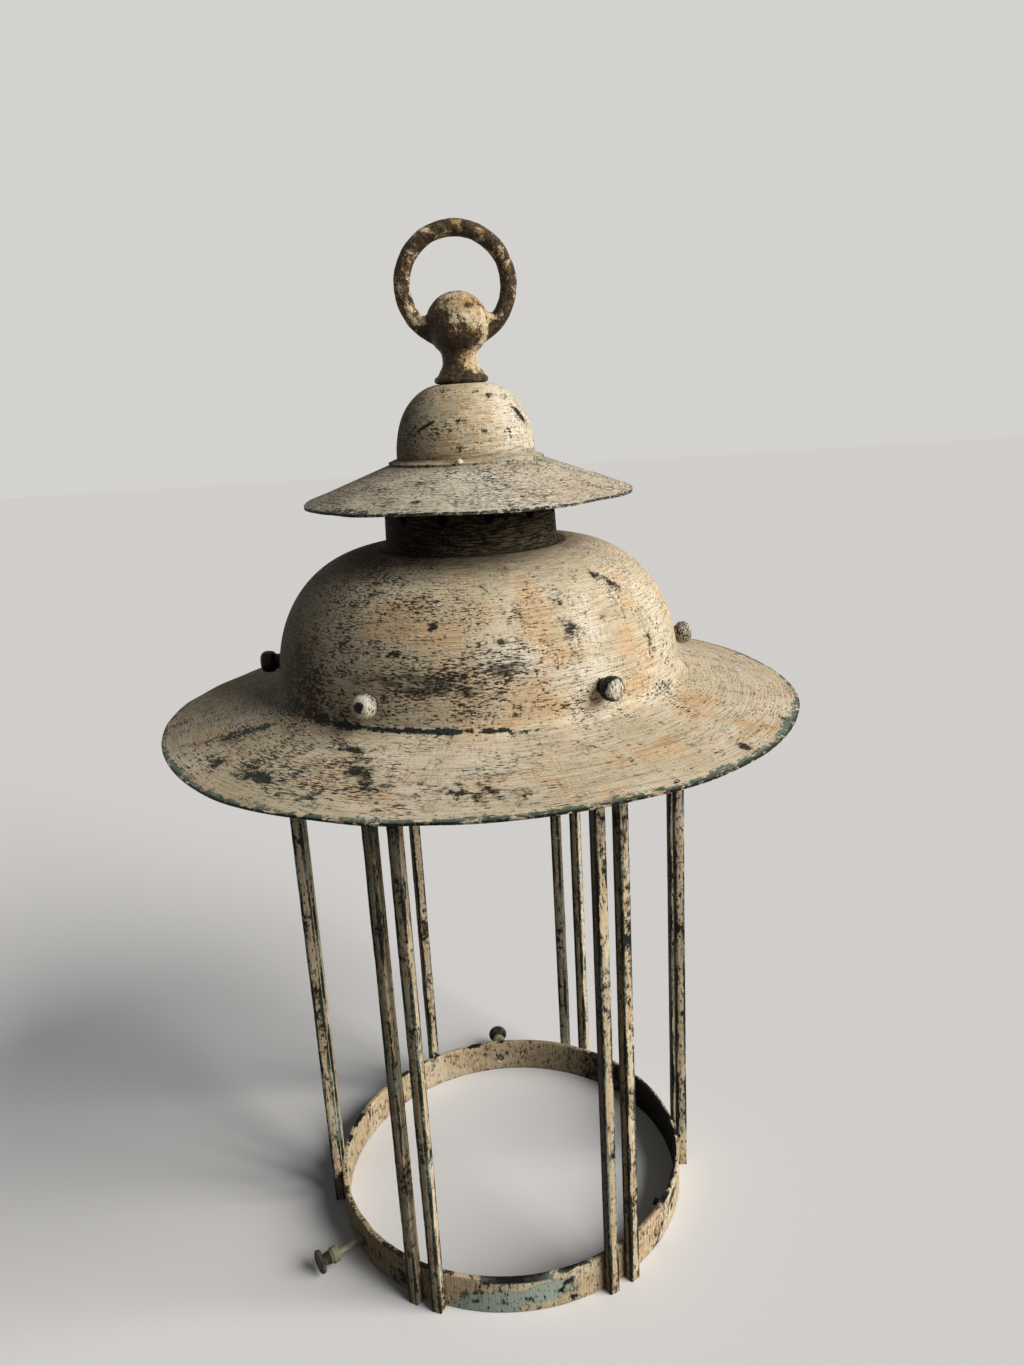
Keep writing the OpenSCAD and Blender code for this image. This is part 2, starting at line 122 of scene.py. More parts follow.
# Real sizes of the cast eye in millimetres
EYE_LOW = CROWN_LOW + CROWN_H
EYE_FOOT_R = 13.9
EYE_RIM_R = 1.8
EYE_NECK_R = 9.0
FOOT_RISE = 5.5
BALL_R = 15.9
BALL_Z = EYE_LOW + 28.5
BALL_SWEEP = 5.0
RING_Z = BALL_Z + 18.5
RING_R = 26.55
RING_ROD_R = 4.15
ARM_R = 9
ARM_L = 19
SAND_GRIT = 0.8

# Real sizes of the screws in millimetres, and their directions in degrees from the front
SCREW_Z = 345.7
SCREW_HEAD_X = 107.4
SCREW_R = 2.5
SCREW_POINT_X = 100.5
KNOB_R = 6.0
KNOB_L = 9.0
KNOB_NECK_R = 4.0
KNOB_NECK_L = 1.5
KNOB_FULL = 2.7
SCREW_POINT = 0.7
PIN_Z = 9.0
PIN_R = 2.1
PIN_OUT = 15.6
PIN_TIP = 17.9
PIN_COLLAR_R = 4.6
PIN_COLLAR_L = 4.2
PIN_WAIST_R = 3.0
PIN_WAIST_L = 5.6
PIN_DISC_R = 6.5
PIN_DISC_T = 2.4
PITCH = 0.9
THREAD = 0.28
EDGE = 0.7
PINS = 3
PIN_STEP = 360 / PINS
FIRST_PIN = -60
PIN_PLAY = 0.3


def srgb(code):
    """Linear colour of an sRGB hex value."""
    parts = [int(code[i:i + 2], 16) / 255 for i in (1, 3, 5)]
    return [p / 12.92 if p <= 0.04045 else ((p + 0.055) / 1.055) ** 2.4 for p in parts] + [1.0]


def add_node(tree, kind, inputs=None, **settings):
    """Adds a shader node with its settings. An input is a value, a socket, or a node for its first output."""
    node = tree.nodes.new(kind)
    for name, value in settings.items():
        setattr(node, name, value)
    for key, value in (inputs or {}).items():
        if isinstance(value, bpy.types.Node):
            value = next(socket for socket in value.outputs if socket.enabled)
        if isinstance(value, bpy.types.NodeSocket):
            tree.links.new(value, node.inputs[key])
        else:
            node.inputs[key].default_value = value
    return node


def new_material(name):
    """An empty material and its node tree."""
    material = bpy.data.materials.new(name)
    material.use_nodes = True
    material.node_tree.nodes.clear()
    return material, material.node_tree


def finish_material(tree, colour, roughness, height, **constants):
    """Ends a material with its shader. height is in millimetres, and the constants are set on the shader."""
    inputs = {"Base Color": colour, "Roughness": roughness}
    if height is not None:
        bump = {"Height": height, "Distance": MM, "Strength": 1.0}
        inputs["Normal"] = add_node(tree, "ShaderNodeBump", bump)
    inputs.update({name.replace("_", " "): value for name, value in constants.items()})
    shader = add_node(tree, "ShaderNodeBsdfPrincipled", inputs)
    add_node(tree, "ShaderNodeOutputMaterial", {"Surface": shader})


def place_in_mm(tree):
    """Object coordinates in millimetres."""
    coordinates = add_node(tree, "ShaderNodeTexCoord")
    return add_node(tree, "ShaderNodeVectorMath", {0: coordinates.outputs["Object"], "Scale": 1 / MM},
                    operation="SCALE")


def ring_strokes(tree, place, turns, width):
    """Coordinates that stretch a pattern round the axis: turns is its length there, width its width in mm."""
    flat = add_node(tree, "ShaderNodeVectorMath", {0: place, 1: (1, 1, 0)}, operation="MULTIPLY")
    radius = add_node(tree, "ShaderNodeVectorMath", {0: flat}, operation="LENGTH").outputs["Value"]
    heading = add_node(tree, "ShaderNodeVectorMath", {0: flat}, operation="NORMALIZE")
    round_axis = add_node(tree, "ShaderNodeVectorMath", {0: heading, "Scale": turns}, operation="SCALE")
    height = add_node(tree, "ShaderNodeSeparateXYZ", {0: place}).outputs["Z"]
    run = add_node(tree, "ShaderNodeMath", {0: height, 1: radius}, operation="SUBTRACT")
    run = add_node(tree, "ShaderNodeMath", {0: run, 1: width}, operation="DIVIDE")
    along = add_node(tree, "ShaderNodeCombineXYZ", {"Z": run})
    return add_node(tree, "ShaderNodeVectorMath", {0: round_axis, 1: along}, operation="ADD")


# What is stored on the vertices of the painted pieces: kinds of wear, dirt and colour, and painted shade
FIELDS = ("chips", "bare", "green", "ochre", "streaks", "specks", "scuff", "grime_and_shade", "edge")


def patterns(tree, noises, fields=()):
    """A material's patterns, as a list of noises and a list of fields.

    A noise is (coordinates, size in millimetres, detail, roughness, distortion). A field is the name of a
    number stored on the mesh, which is 0 where the mesh has none.
    """
    found = [add_node(tree, "ShaderNodeTexNoise", {"Vector": vector, "Scale": 1 / size, "Detail": detail,
                                                   "Roughness": roughness, "Distortion": distortion})
             for vector, size, detail, roughness, distortion in noises]
    stored = [add_node(tree, "ShaderNodeAttribute", attribute_name=name).outputs["Fac"] for name in fields]
    return found, stored


def sums(tree, *terms):
    """Sum of values, each given with its weight."""
    total = 0.0
    for value, weight in terms:
        total = add_node(tree, "ShaderNodeMath", {0: value, 1: weight, 2: total}, operation="MULTIPLY_ADD")
    return total


def soft_step(tree, terms, low, high, least=0.0, most=1.0):
    """Goes softly from least to most as a sum, given by its terms, goes from low to high."""
    return add_node(tree, "ShaderNodeMapRange", {0: sums(tree, *terms), 1: low, 2: high, 3: least, 4: most},
                    interpolation_type="SMOOTHSTEP")


def coat(tree, below, above, *masks, blend="MIX"):
    """A colour laid over another where all the masks say. Colours are hex values or mixes."""
    mask = masks[0]
    for other in masks[1:]:
        mask = add_node(tree, "ShaderNodeMath", {0: mask, 1: other}, operation="MULTIPLY")
    inputs = {0: mask}
    for key, colour in ((6, below), (7, above)):
        inputs[key] = srgb(colour) if isinstance(colour, str) else colour.outputs[2]
    return add_node(tree, "ShaderNodeMix", inputs, data_type="RGBA", blend_type=blend)


def worn_paint(name, strokes, tones, patch, chip, speck, chips_at, ochre_at, dirt, dullness=0.8, gloss=0.08):
    """Layers of old cream oil paint, brushed on, over a green-grey undercoat, and chipped.

    strokes makes coordinates for the brush strokes from a place, a length and a width. patch, chip and speck
    are sizes in millimetres, chips_at and ochre_at are levels past which those layers show, dirt is how much
    of it lies in the strokes, dullness is the roughness of whole paint and gloss its specular level.
    """
    material, tree = new_material(name)
    place = place_in_mm(tree)
    noises, fields = patterns(tree, [
        (strokes(tree, place, 16, 0.8), 1.0, 3, 0.7, 0),
        (strokes(tree, place, 1.0, 9), 1.0, 3, 0.65, 0),
        (strokes(tree, place, 20, 2.2), 1.0, 7, 0.75, 0.3),
        (strokes(tree, place, 3.0 * speck, speck), 1.0, 3, 0.6, 0),
        (place, 2 * patch, 4, 0.5, 0),
        (place, patch, 7, 0.62, 0.5),
        (place, 12, 5, 0.65, 0),
        (place, chip, 9, 0.72, 0.4),
        (place, 0.8 * speck, 3, 0.6, 0)], FIELDS)
    brush, hatch, smear, dashes, broad, stain, cluster, flakes, grain = noises
    chips, bare, green, ochre, streaks, specks, scuff, grime_and_shade, edge = fields

    # Whole paint: cream with paler and ochre patches that the brush drew out
    colour = coat(tree, tones["cream"], tones["pale"], soft_step(tree, [(broad, 1)], 0.40, 0.62))
    level = [(stain, 1), (ochre, 0.26), (brush, 0.16)]
    colour = coat(tree, colour, tones["ochre"], soft_step(tree, level, ochre_at, ochre_at + 0.18, 0, 0.75))
    # Chalky scuffs on the ridges of the strokes, along and across, and dirt in their grooves
    level = [(brush, 0.55), (grain, 0.5), (stain, 0.25), (scuff, 0.16)]
    colour = coat(tree, colour, tones["scuff"], soft_step(tree, level, 0.66, 0.82, 0, 0.75))
    level = [(hatch, 0.7), (cluster, 0.4), (scuff, 0.24)]
    colour = coat(tree, colour, tones["scuff"], soft_step(tree, level, 0.60, 0.76, 0, 0.6))
    colour = coat(tree, colour, tones["dirt"], soft_step(tree, [(brush, 1)], 0.52, 0.34, 0, dirt),
                  soft_step(tree, [(grain, 1)], 0.64, 0.40, 0.3, 1.0))
    colour = coat(tree, colour, tones["dirt"], soft_step(tree, [(hatch, 1)], 0.46, 0.32, 0, 0.8 * dirt),
                  soft_step(tree, [(cluster, 1)], 0.4, 0.6))
    # Grey smears, where rubbing has thinned the paint on the ridges of the strokes
    level = [(smear, 0.75), (streaks, 0.30), (cluster, 0.16), (dashes, 0.34)]
    colour = coat(tree, colour, tones["smear"], soft_step(tree, level, 0.82, 0.98, 0, 0.9))

    # Edges and patches rubbed down to the green undercoat
    bare_mask = soft_step(tree, [(bare, 0.75), (flakes, 0.8), (dashes, 0.3)], 0.88, 0.96)
    bared = coat(tree, tones["undercoat"], tones["verdigris"],
                 soft_step(tree, [(flakes, 1), (green, 0.35)], 0.54, 0.80))
    bared = coat(tree, bared, tones["oxide"], edge)
    colour = coat(tree, colour, bared, bare_mask)

    # What lies under it: green-grey undercoat, black oxide and a little rust
    under = coat(tree, tones["oxide"], tones["undercoat"], soft_step(tree, [(grain, 1)], 0.42, 0.62))
    under = coat(tree, under, tones["rust"], soft_step(tree, [(stain, 1)], 0.50, 0.58),
                 soft_step(tree, [(cluster, 1)], 0.44, 0.56))
    # Chips: ragged flakes where the marks say, broken up by the strokes, with thin paint round them
    level = [(flakes, 1), (chips, 0.36), (smear, 0.3), (dashes, 0.4), (cluster, 0.2)]
    chip_mask = soft_step(tree, level, chips_at, chips_at + 0.045)
    thin = soft_step(tree, level, chips_at - 0.11, chips_at + 0.02, 0, 0.7)
    colour = coat(tree, colour, tones["smear"], thin)
    # Specks in clusters, soft at their edges
    level = [(dashes, 1), (cluster, 0.42), (specks, 0.14), (broad, 0.2)]
    speck_mask = soft_step(tree, level, 0.90, 1.00, 0, 0.95)
    worn = add_node(tree, "ShaderNodeMath", {0: chip_mask, 1: speck_mask}, operation="MAXIMUM")
    colour = coat(tree, colour, under, worn)
    # Darkened where the grime field says, less on the ridges of the strokes: dirt, and painted shade
    colour = coat(tree, colour, tones["grime_and_shade"], grime_and_shade, soft_step(tree, [(brush, 1)], 0.30, 0.66, 1.0, 0.7),
                  blend="MULTIPLY")

    # Relief: thickness of the paint at its broken edges, brush strokes and grain
    lost = add_node(tree, "ShaderNodeMath", {0: worn, 1: bare_mask}, operation="MAXIMUM")
    height = sums(tree, (lost, -0.16), (brush, 0.26), (hatch, 0.14), (grain, 0.12))
    roughness = add_node(tree, "ShaderNodeMapRange", {0: lost, 3: dullness, 4: 0.75 * dullness})
    finish_material(tree, colour.outputs[2], roughness, height, Specular_IOR_Level=gloss)
    return material


# Old oil paint, brushed on and gone chalky: matt, uneven in tone, with the undercoat grinning through
HOOD_TONES = {"cream": "#c6b89b", "pale": "#d6cab3", "ochre": "#cba678", "scuff": "#e6dfce",
              "dirt": "#776b57", "smear": "#4a483d", "undercoat": "#3b433c", "verdigris": "#6f8578",
              "oxide": "#1a1815", "rust": "#32221a", "grime_and_shade": "#38352b"}
CAP_TONES = dict(HOOD_TONES, cream="#c4b8a1", pale="#d8cebc", ochre="#c2a880")
CROWN_TONES = dict(HOOD_TONES, cream="#bdb092", pale="#d6cab0", ochre="#b38f5c", smear="#57554a")
CAGE_TONES = dict(HOOD_TONES, cream="#c3af8e", pale="#d6c8ab", ochre="#be9c72", scuff="#e2d8c2",
                  undercoat="#1f2823", verdigris="#a2b0a2", oxide="#141613", rust="#3a281d")


def hood_strokes(tree, place, length, width):
    return ring_strokes(tree, place, 110 / length, width)


def cap_strokes(tree, place, length, width):
    return ring_strokes(tree, place, 60 / length, width)


def bar_strokes(tree, place, length, width):
    return add_node(tree, "ShaderNodeVectorMath", {0: place, 1: (1 / width, 1 / width, 1 / length)},
                    operation="MULTIPLY")


HOOD_PAINT = worn_paint("oil_paint_on_spun_iron", hood_strokes, HOOD_TONES, 19, 5.5, 0.9, 1.12, 0.57, 0.75)
CAP_PAINT = worn_paint("oil_paint_on_cap_iron", cap_strokes, CAP_TONES, 17, 4.0, 0.8, 1.13, 0.60, 0.8)
CROWN_PAINT = worn_paint("oil_paint_on_crown_iron", cap_strokes, CROWN_TONES, 7, 4.0, 1.1, 1.12, 0.58, 0.6)
CAGE_PAINT = worn_paint("oil_paint_on_bar_iron", bar_strokes, CAGE_TONES, 17, 4.2, 1.3, 1.11, 0.56, 0.6)


def iron_with_paint():
    """Cast iron, rusted brown-black with a sand-cast skin, with tan and white paint left in patches, which
    also give painted light where the eye faces the lamp.
    """
    material, tree = new_material("rusty_cast_iron")
    place = place_in_mm(tree)
    noises, fields = patterns(tree, [(place, 1.0, 4, 0.5, 0), (place, 5.0, 9, 0.74, 0),
                                     (place, 2.4, 7, 0.7, 0), (place, 15, 3, 0.5, 0)], ["paint_and_light"])
    skin, patch, film, broad = noises
    colour = coat(tree, "#1e1712", "#523c24", soft_step(tree, [(film, 1)], 0.42, 0.58))
    tan = coat(tree, "#a98c60", "#e2d6ba", soft_step(tree, [(broad, 0.5), (film, 0.6)], 0.48, 0.62))
    level = [(fields[0], 0.42), (patch, 1), (skin, 0.2)]
    worn = coat(tree, "#6d5636", tan, soft_step(tree, level, 0.78, 0.86))
    mask = soft_step(tree, level, 0.70, 0.80, 0, 0.95)
    colour = coat(tree, colour, worn, mask)
    colour = coat(tree, colour, "#7b7359", soft_step(tree, [(film, 1)], 0.54, 0.64, 0, 0.4))
    colour = coat(tree, colour, "#241c13", soft_step(tree, [(skin, 1)], 0.44, 0.30, 0, 0.5))
    height = sums(tree, (mask, 0.5), (skin, 0.2), (patch, 0.25))
    roughness = add_node(tree, "ShaderNodeMapRange", {0: mask, 3: 0.55, 4: 0.78})
    finish_material(tree, colour.outputs[2], roughness, height, Specular_IOR_Level=0.25)
    return material


EYE_IRON = iron_with_paint()


def arc(x, z, radius, start, stop, count):
    """Points on an arc, with its angles in degrees."""
    turns = [math.radians(start + (stop - start) * i / count) for i in range(count + 1)]
    return [(x + radius * math.cos(t), z + radius * math.sin(t)) for t in turns]


def line(a, b, count):
    """Points on a straight line."""
    return [(a[0] + (b[0] - a[0]) * i / count, a[1] + (b[1] - a[1]) * i / count) for i in range(count + 1)]


def swell(big, small, low, high, full, count):
    """Quarter of a full ellipse, from (big, low) up to (small, low + high)."""
    turns = [math.pi / 2 * i / count for i in range(count + 1)]
    return [(small + (big - small) * abs(math.cos(t)) ** (2 / full), low + high * math.sin(t) ** (2 / full))
            for t in turns]


def joined(*paths):
    """One path out of several that meet at their ends."""
    points = []
    for point in (p for path in paths for p in path):
        if not points or math.dist(points[-1], point) > 1e-4:
            points.append(point)
    return points


def inside(path, thickness):
    """The path moved to its left by a sheet's thickness."""
    moved = []
    for i, (x, z) in enumerate(path):
        before, after = path[max(i - 1, 0)], path[min(i + 1, len(path) - 1)]
        dx, dz = after[0] - before[0], after[1] - before[1]
        length = math.hypot(dx, dz)
        moved.append((x - thickness * dz / length, z + thickness * dx / length))
    return moved


def spin(name, outline, steps):
    """Spins a closed outline of (radius, height) points, in millimetres, round the axis into a solid."""
    bpy.ops.mesh.primitive_circle_add(vertices=len(outline), radius=1, fill_type="NOTHING")
    piece = bpy.context.object
    piece.name = name
    for vertex, (radius, height) in zip(piece.data.vertices, outline):
        vertex.co = (radius * MM, 0, height * MM)
    bpy.ops.object.mode_set(mode="EDIT")
    bpy.ops.mesh.select_all(action="SELECT")
    bpy.ops.mesh.spin(steps=steps, angle=2 * math.pi, center=(0, 0, 0), axis=(0, 0, 1))
    bpy.ops.mesh.select_all(action="SELECT")
    bpy.ops.mesh.remove_doubles(threshold=1e-6)
    bpy.ops.mesh.delete_loose()
    bpy.ops.mesh.select_all(action="SELECT")
    bpy.ops.mesh.normals_make_consistent(inside=False)
    bpy.ops.object.mode_set(mode="OBJECT")
    bpy.ops.object.shade_smooth_by_angle(angle=math.radians(40))
    piece.select_set(False)
    return piece


def outward(azimuth, reach, height):
    """Matrix that stands a piece, modelled along Z, out from the axis. Azimuths count from the front."""
    turn = Matrix.Rotation(math.radians(azimuth - 90), 4, "Z")
    place = Matrix.Translation((reach * MM, 0, height * MM))
    return turn @ place @ Matrix.Rotation(math.pi / 2, 4, "Y")


def cut(piece, holes):
    """Drills radial holes, given as (azimuth, height, radius, from, to) in millimetres."""
    drills = []
    for azimuth, height, radius, start, stop in holes:
        bpy.ops.mesh.primitive_cylinder_add(vertices=24, radius=radius * MM, depth=(stop - start) * MM)
        drill = bpy.context.object
        drill.data.transform(outward(azimuth, (start + stop) / 2, height))
        drills.append(drill)
    bpy.ops.object.select_all(action="DESELECT")
    for drill in drills:
        drill.select_set(True)
    bpy.context.view_layer.objects.active = drills[0]
    bpy.ops.object.join()
    drill = bpy.context.object
    modifier = piece.modifiers.new("holes", "BOOLEAN")
    modifier.operation = "DIFFERENCE"
    modifier.solver = "EXACT"
    modifier.object = drill
    bpy.context.view_layer.objects.active = piece
    bpy.ops.object.modifier_apply(modifier=modifier.name)
    bpy.data.objects.remove(drill)


def points_of(piece):
    """The piece's vertices and normals in millimetres, as arrays."""
    count = len(piece.data.vertices)
    places = np.empty(count * 3)
    normals = np.empty(count * 3)
    piece.data.vertices.foreach_get("co", places)
    piece.data.vertices.foreach_get("normal", normals)
    return places.reshape(-1, 3) / MM, normals.reshape(-1, 3)


def move_points(piece, places):
    """Puts the vertices where the array says, in millimetres."""
    piece.data.vertices.foreach_set("co", (places * MM).ravel())
    piece.data.update()


def write_field(piece, name, values):
    """Stores one number per vertex for the material."""
    stored = piece.data.attributes.new(name, "FLOAT", "POINT")
    stored.data.foreach_set("value", np.clip(values, 0, 2).astype(np.float32))


def put_fields(piece, fields):
    for kind, values in fields.items():
        write_field(piece, kind, values)


def at_least(fields, kind, values):
    """Raises a field to these values where it is lower."""
    fields[kind] = np.maximum(fields[kind], values)


def uneven(places, size, seed):
    """Smooth noise from -1 to 1 at each place, with features of that size in millimetres."""
    shift = Vector((seed * 7.3, seed * 3.1, seed * 5.7))
    return np.array([noise.noise(Vector(p) / size + shift) for p in places])


def mark_fields(piece, marks):
    """Turns marks into fields on the vertices that face outwards.

    A mark is (kind, azimuth, run, half length, half width, lean, amount). Its run is height less radius,
    which grows steadily from a brim's edge up to its neck, and its lean turns it from the ring's direction.
    """
    places, normals = points_of(piece)
    radius = np.hypot(places[:, 0], places[:, 1])
    azimuth = np.degrees(np.arctan2(places[:, 0], -places[:, 1]))
    run = places[:, 2] - radius
    faces_out = (places[:, 0] * normals[:, 0] + places[:, 1] * normals[:, 1]) / radius + normals[:, 2] > -0.2
    fields = {kind: np.zeros(len(places)) for kind in FIELDS}
    for kind, at, at_run, half_length, half_width, lean, amount in marks:
        along = np.radians((azimuth - at + 180) % 360 - 180) * radius
        across = run - at_run
        turn = math.radians(lean)
        u = (along * math.cos(turn) + across * math.sin(turn)) / half_length
        v = (across * math.cos(turn) - along * math.sin(turn)) / half_width
        fields[kind] = np.maximum(fields[kind], amount * np.exp(-np.power(u * u + v * v, 1.2)))
    for kind in fields:
        fields[kind] = fields[kind] * faces_out
    return fields, places, azimuth, radius


def ride_as(piece, node, material, body=FIXED):
    """The piece stands for a node of the frame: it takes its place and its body."""
    piece.data.materials.clear()
    piece.data.materials.append(material)
    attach(piece, body)
    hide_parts(node)


# Marks on the hood, by azimuth in degrees and run, half length and half width in millimetres
HOOD_MARKS = [
    # Brim: scrapes and chips at the front left, flaked edge marks at the front, a stain at the right
    ("chips", -65, 187, 26, 5, 66, 0.78), ("chips", -57, 167, 12, 6, 0, 0.5),
    ("chips", -45, 170, 19, 6.5, -10, 0.72), ("streaks", -47, 170, 26, 10, -8, 0.7),
    ("chips", -31, 205, 10, 4, 0, 0.75), ("chips", -27, 200, 6, 3, 0, 0.55),
    ("chips", -26, 188, 13, 5.5, -28, 0.9), ("chips", -22, 176, 10, 6, -20, 0.55),
    ("streaks", -28, 185, 26, 22, 0, 0.35), ("chips", -33, 162, 16, 3, 0, 0.40),
    ("chips", -13, 168, 12, 3, -18, 0.5), ("chips", -7, 165, 5, 4, 0, 0.5),
    ("streaks", -87, 174, 28, 4, 34, 0.9), ("chips", -12, 197, 3, 3.5, 20, 0.45),
    ("chips", 45, 157, 5, 5, 60, 0.72), ("chips", 61, 155, 4, 3, 0, 0.5),
    ("chips", -2, 173, 7, 3, -55, 0.58), ("chips", 4, 168, 9, 3.5, -33, 0.58),
    ("streaks", 0, 170, 30, 10, 0, 0.8), ("chips", -4, 170, 24, 5, -25, 0.5),
    ("chips", 39, 201, 2.5, 3.5, 0, 0.5), ("chips", 20, 198, 1.8, 1.6, 0, 0.9),
    ("chips", 27, 152, 1.8, 1.6, 0, 0.9), ("streaks", 99, 180, 26, 5, -35, 0.9),
    ("streaks", 84, 217, 12, 3, 0, 1.0), ("ochre", 53, 173, 26, 4, -70, 1.0),
    ("ochre", 25, 180, 30, 12, 0, 0.4), ("streaks", -60, 190, 34, 30, 0, 0.6),
    ("specks", -40, 182, 50, 22, -12, 0.8), ("streaks", -62, 187, 26, 7, 66, 0.9),
    ("ochre", 55, 200, 24, 12, 0, 0.5),
    # Root of the dome, where the paint is worn through at the turn
    ("chips", -46, 226, 19, 4, 0, 0.62), ("chips", -39, 225, 6, 3.0, 0, 1.15),
    ("chips", -26, 225.5, 28, 1.8, 0, 1.05), ("chips", -60, 229, 9, 3, 0, 0.6),
    ("chips", -12, 225.5, 18, 1.9, 0, 1.1), ("chips", 0, 224.5, 10, 1.7, 0, 1.0),
    ("chips", 8, 222, 9, 1.5, 0, 0.8), ("streaks", 57, 224, 15, 7, 0, 1.0),
    ("chips", 55, 224, 9, 5, 0, 0.42), ("streaks", -30, 228, 60, 9, 0, 0.5),
    # Dome, left of the front
    ("chips", -60, 299, 10, 2, -20, 0.58), ("chips", -36, 309, 7, 3, -30, 0.55),
    ("specks", -18, 298, 34, 17, 0, 0.8), ("chips", -24, 266, 3.6, 2.2, 0, 1.0),
    ("chips", -20.6, 265, 1.8, 1.6, 0, 0.8), ("specks", -57, 242, 34, 26, 0, 1.1),
    ("specks", -50, 196, 40, 26, 0, 0.7), ("chips", -54, 262, 20, 6, 0, 0.30),
    ("chips", -14, 283, 2.6, 2.8, 0, 0.85), ("streaks", -18, 250, 52, 13, 0, 1.15),
    ("chips", -14, 246, 30, 5, 0, 0.35), ("specks", -14, 250, 50, 24, 0, 0.9),
    ("streaks", -30, 236, 34, 5, 0, 0.8), ("streaks", -55, 255, 34, 30, 0, 0.5),
    ("streaks", -15, 305, 34, 14, 0, 0.35),
    # Dome, right of the front
    ("chips", 43, 308, 7, 3.6, -60, 0.62), ("chips", 47, 298, 6, 3.4, -60, 0.62),
    ("chips", 23, 292, 5, 4, 90, 0.60), ("chips", 23, 277, 8, 4.5, 90, 0.42),
    ("chips", 35, 278, 4, 3, 60, 0.50), ("chips", 8, 277, 2, 1.5, 0, 0.5),
    ("chips", 51, 252, 8, 3.6, 100, 0.55), ("streaks", 4, 256, 22, 8, 0, 1.15),
    ("chips", 4, 256, 14, 5, 0, 0.35), ("chips", 4, 271.5, 3, 2, 0, 0.85), ("ochre", 14, 288, 9, 26, 0, 0.9),
    ("ochre", 47, 280, 10, 12, 0, 0.6), ("ochre", 41, 260, 7, 14, 0, 0.7),
    ("ochre", 21, 259, 15, 7, 0, 0.75), ("ochre", 12, 236, 18, 11, 0, 0.75),
    ("ochre", 42, 234, 9, 6, 0, 0.7), ("ochre", -16, 290, 34, 22, 0, 0.6), ("scuff", 29, 276, 9, 22, 0, 0.6),
    ("scuff", 28, 246, 13, 10, 0, 0.8), ("scuff", 8, 262, 14, 9, 0, 0.7), ("scuff", 60, 270, 12, 30, 0, 0.5),
    ("scuff", -15, 200, 40, 14, 0, 0.35)]


def back_marks(seed, count, low, high):
    """Marks scattered over the side away from the front, between two runs."""
    draw = np.random.RandomState(seed)
    kinds = ("chips", "chips", "streaks", "ochre", "specks", "scuff")
    marks = []
    for i in range(count):
        at, at_run, size = draw.uniform(110, 265), draw.uniform(low, high), draw.uniform(0.4, 1)
        lean, amount = draw.uniform(-25, 25), draw.uniform(0.5, 0.85)
        kind = kinds[i % len(kinds)]
        reach = size * (9 if kind == "chips" else 26)
        marks.append((kind, at, at_run, reach, (0.3 + 0.2 * size) * reach, lean, amount))
    return marks


def make_hood():
    """Hood: brim, dome and neck, spun in one from sheet, with its vents and screw holes drilled."""
    lean = math.degrees(math.atan(BRIM_FALL / (BRIM_R - DOME_R)))
    root = arc(DOME_R + ROOT_R, DOME_LOW, ROOT_R, 270 - lean, 180, 8)
    face = joined(
        line((BRIM_R, ROOT_Z - BRIM_FALL), root[0], 27),
        root,
        swell(DOME_R, DOME_IN_R, DOME_LOW, SHOULDER_Z - DOME_LOW, DOME_FULL, 50),
        arc(DOME_IN_R, SHOULDER_Z + SHOULDER_R, SHOULDER_R, 270, 180, 6),
        line((NECK_R, SHOULDER_Z + SHOULDER_R), (NECK_TOP_R, NECK_Z), 14))
    lining = inside(face, SHEET)
    kept = [p for i, p in enumerate(lining) if i % 2 == 0 or i == len(lining) - 1]
    hood = spin("hood_spun", face + kept[::-1], 324)
    vents = [(FIRST_VENT + i * 360 / VENTS, VENT_Z, VENT_R, NECK_TOP_R - DRILL_REACH, NECK_R + DRILL_REACH)
             for i in range(VENTS)]
    screws = [(FIRST_PAIR + i * PAIR_STEP, SCREW_Z, SCREW_R + PLAY, DOME_R - DRILL_REACH,
               DOME_R + DRILL_REACH) for i in range(PAIRS)]
    cut(hood, vents + screws)
    fields, places, azimuth, radius = mark_fields(hood, HOOD_MARKS + back_marks(3, 60, 152, 306))
    run = places[:, 2] - radius
    # Hammered unevenness of the sheet, and the brim bent down at the front left
    out = np.clip((radius - DOME_R) / (BRIM_R - DOME_R), 0, 1)
    wave = uneven(places * [1, 1, 0.2], 70, 1) * 1.5 + uneven(places * [1, 1, 0.2], 26, 2) * 0.5
    sag = BRIM_BEND * np.exp(-((azimuth - BEND_AT) / BEND_SPREAD) ** 2)
    places[:, 2] += out ** 2 * (wave - sag)
    # The edge rubbed down to the undercoat, in a ragged band of uneven width
    width = 4.4 + 3.8 * uneven(places * [1, 1, 0], 22, 3) + 2.5 * np.exp(-((azimuth - 50) / 35) ** 2)
    rim = np.clip(1.1 - (BRIM_R - radius) / np.maximum(width, 1.0), 0, 0.55)
    at_least(fields, "bare", rim)
    fields["edge"] = np.clip(1.6 - (BRIM_R - radius), 0, 1)
    fields["green"] = 0.5 * (radius > BRIM_R - 10)
    # Painted shade under the cap, on the top of the dome and on the neck, less towards the right, where the
    # lamp reaches; and down the left side, dirt with painted shade and more specks
    lit_right = 0.5 * np.clip((azimuth - 5) / 40, 0, 1) * (run < 352)
    fields["grime_and_shade"] = np.clip((run - 308) / 30, 0, 1) * (0.85 - lit_right) + 0.3 * (run > 352)
    left = np.exp(-((azimuth + 88) / 36) ** 2) * np.clip((run - 200) / 30, 0.35, 1)
    at_least(fields, "grime_and_shade", left * 0.5)
    fields["specks"] += 0.6 * left
    at_least(fields, "specks", 0.7 * np.exp(-((azimuth + 50) / 40) ** 2) * (run > 225))
    at_least(fields, "streaks", np.exp(-((run - 318) / 8) ** 2) * 0.45)
    move_points(hood, places)
    put_fields(hood, fields)
    ride_as(hood, "hood", HOOD_PAINT)


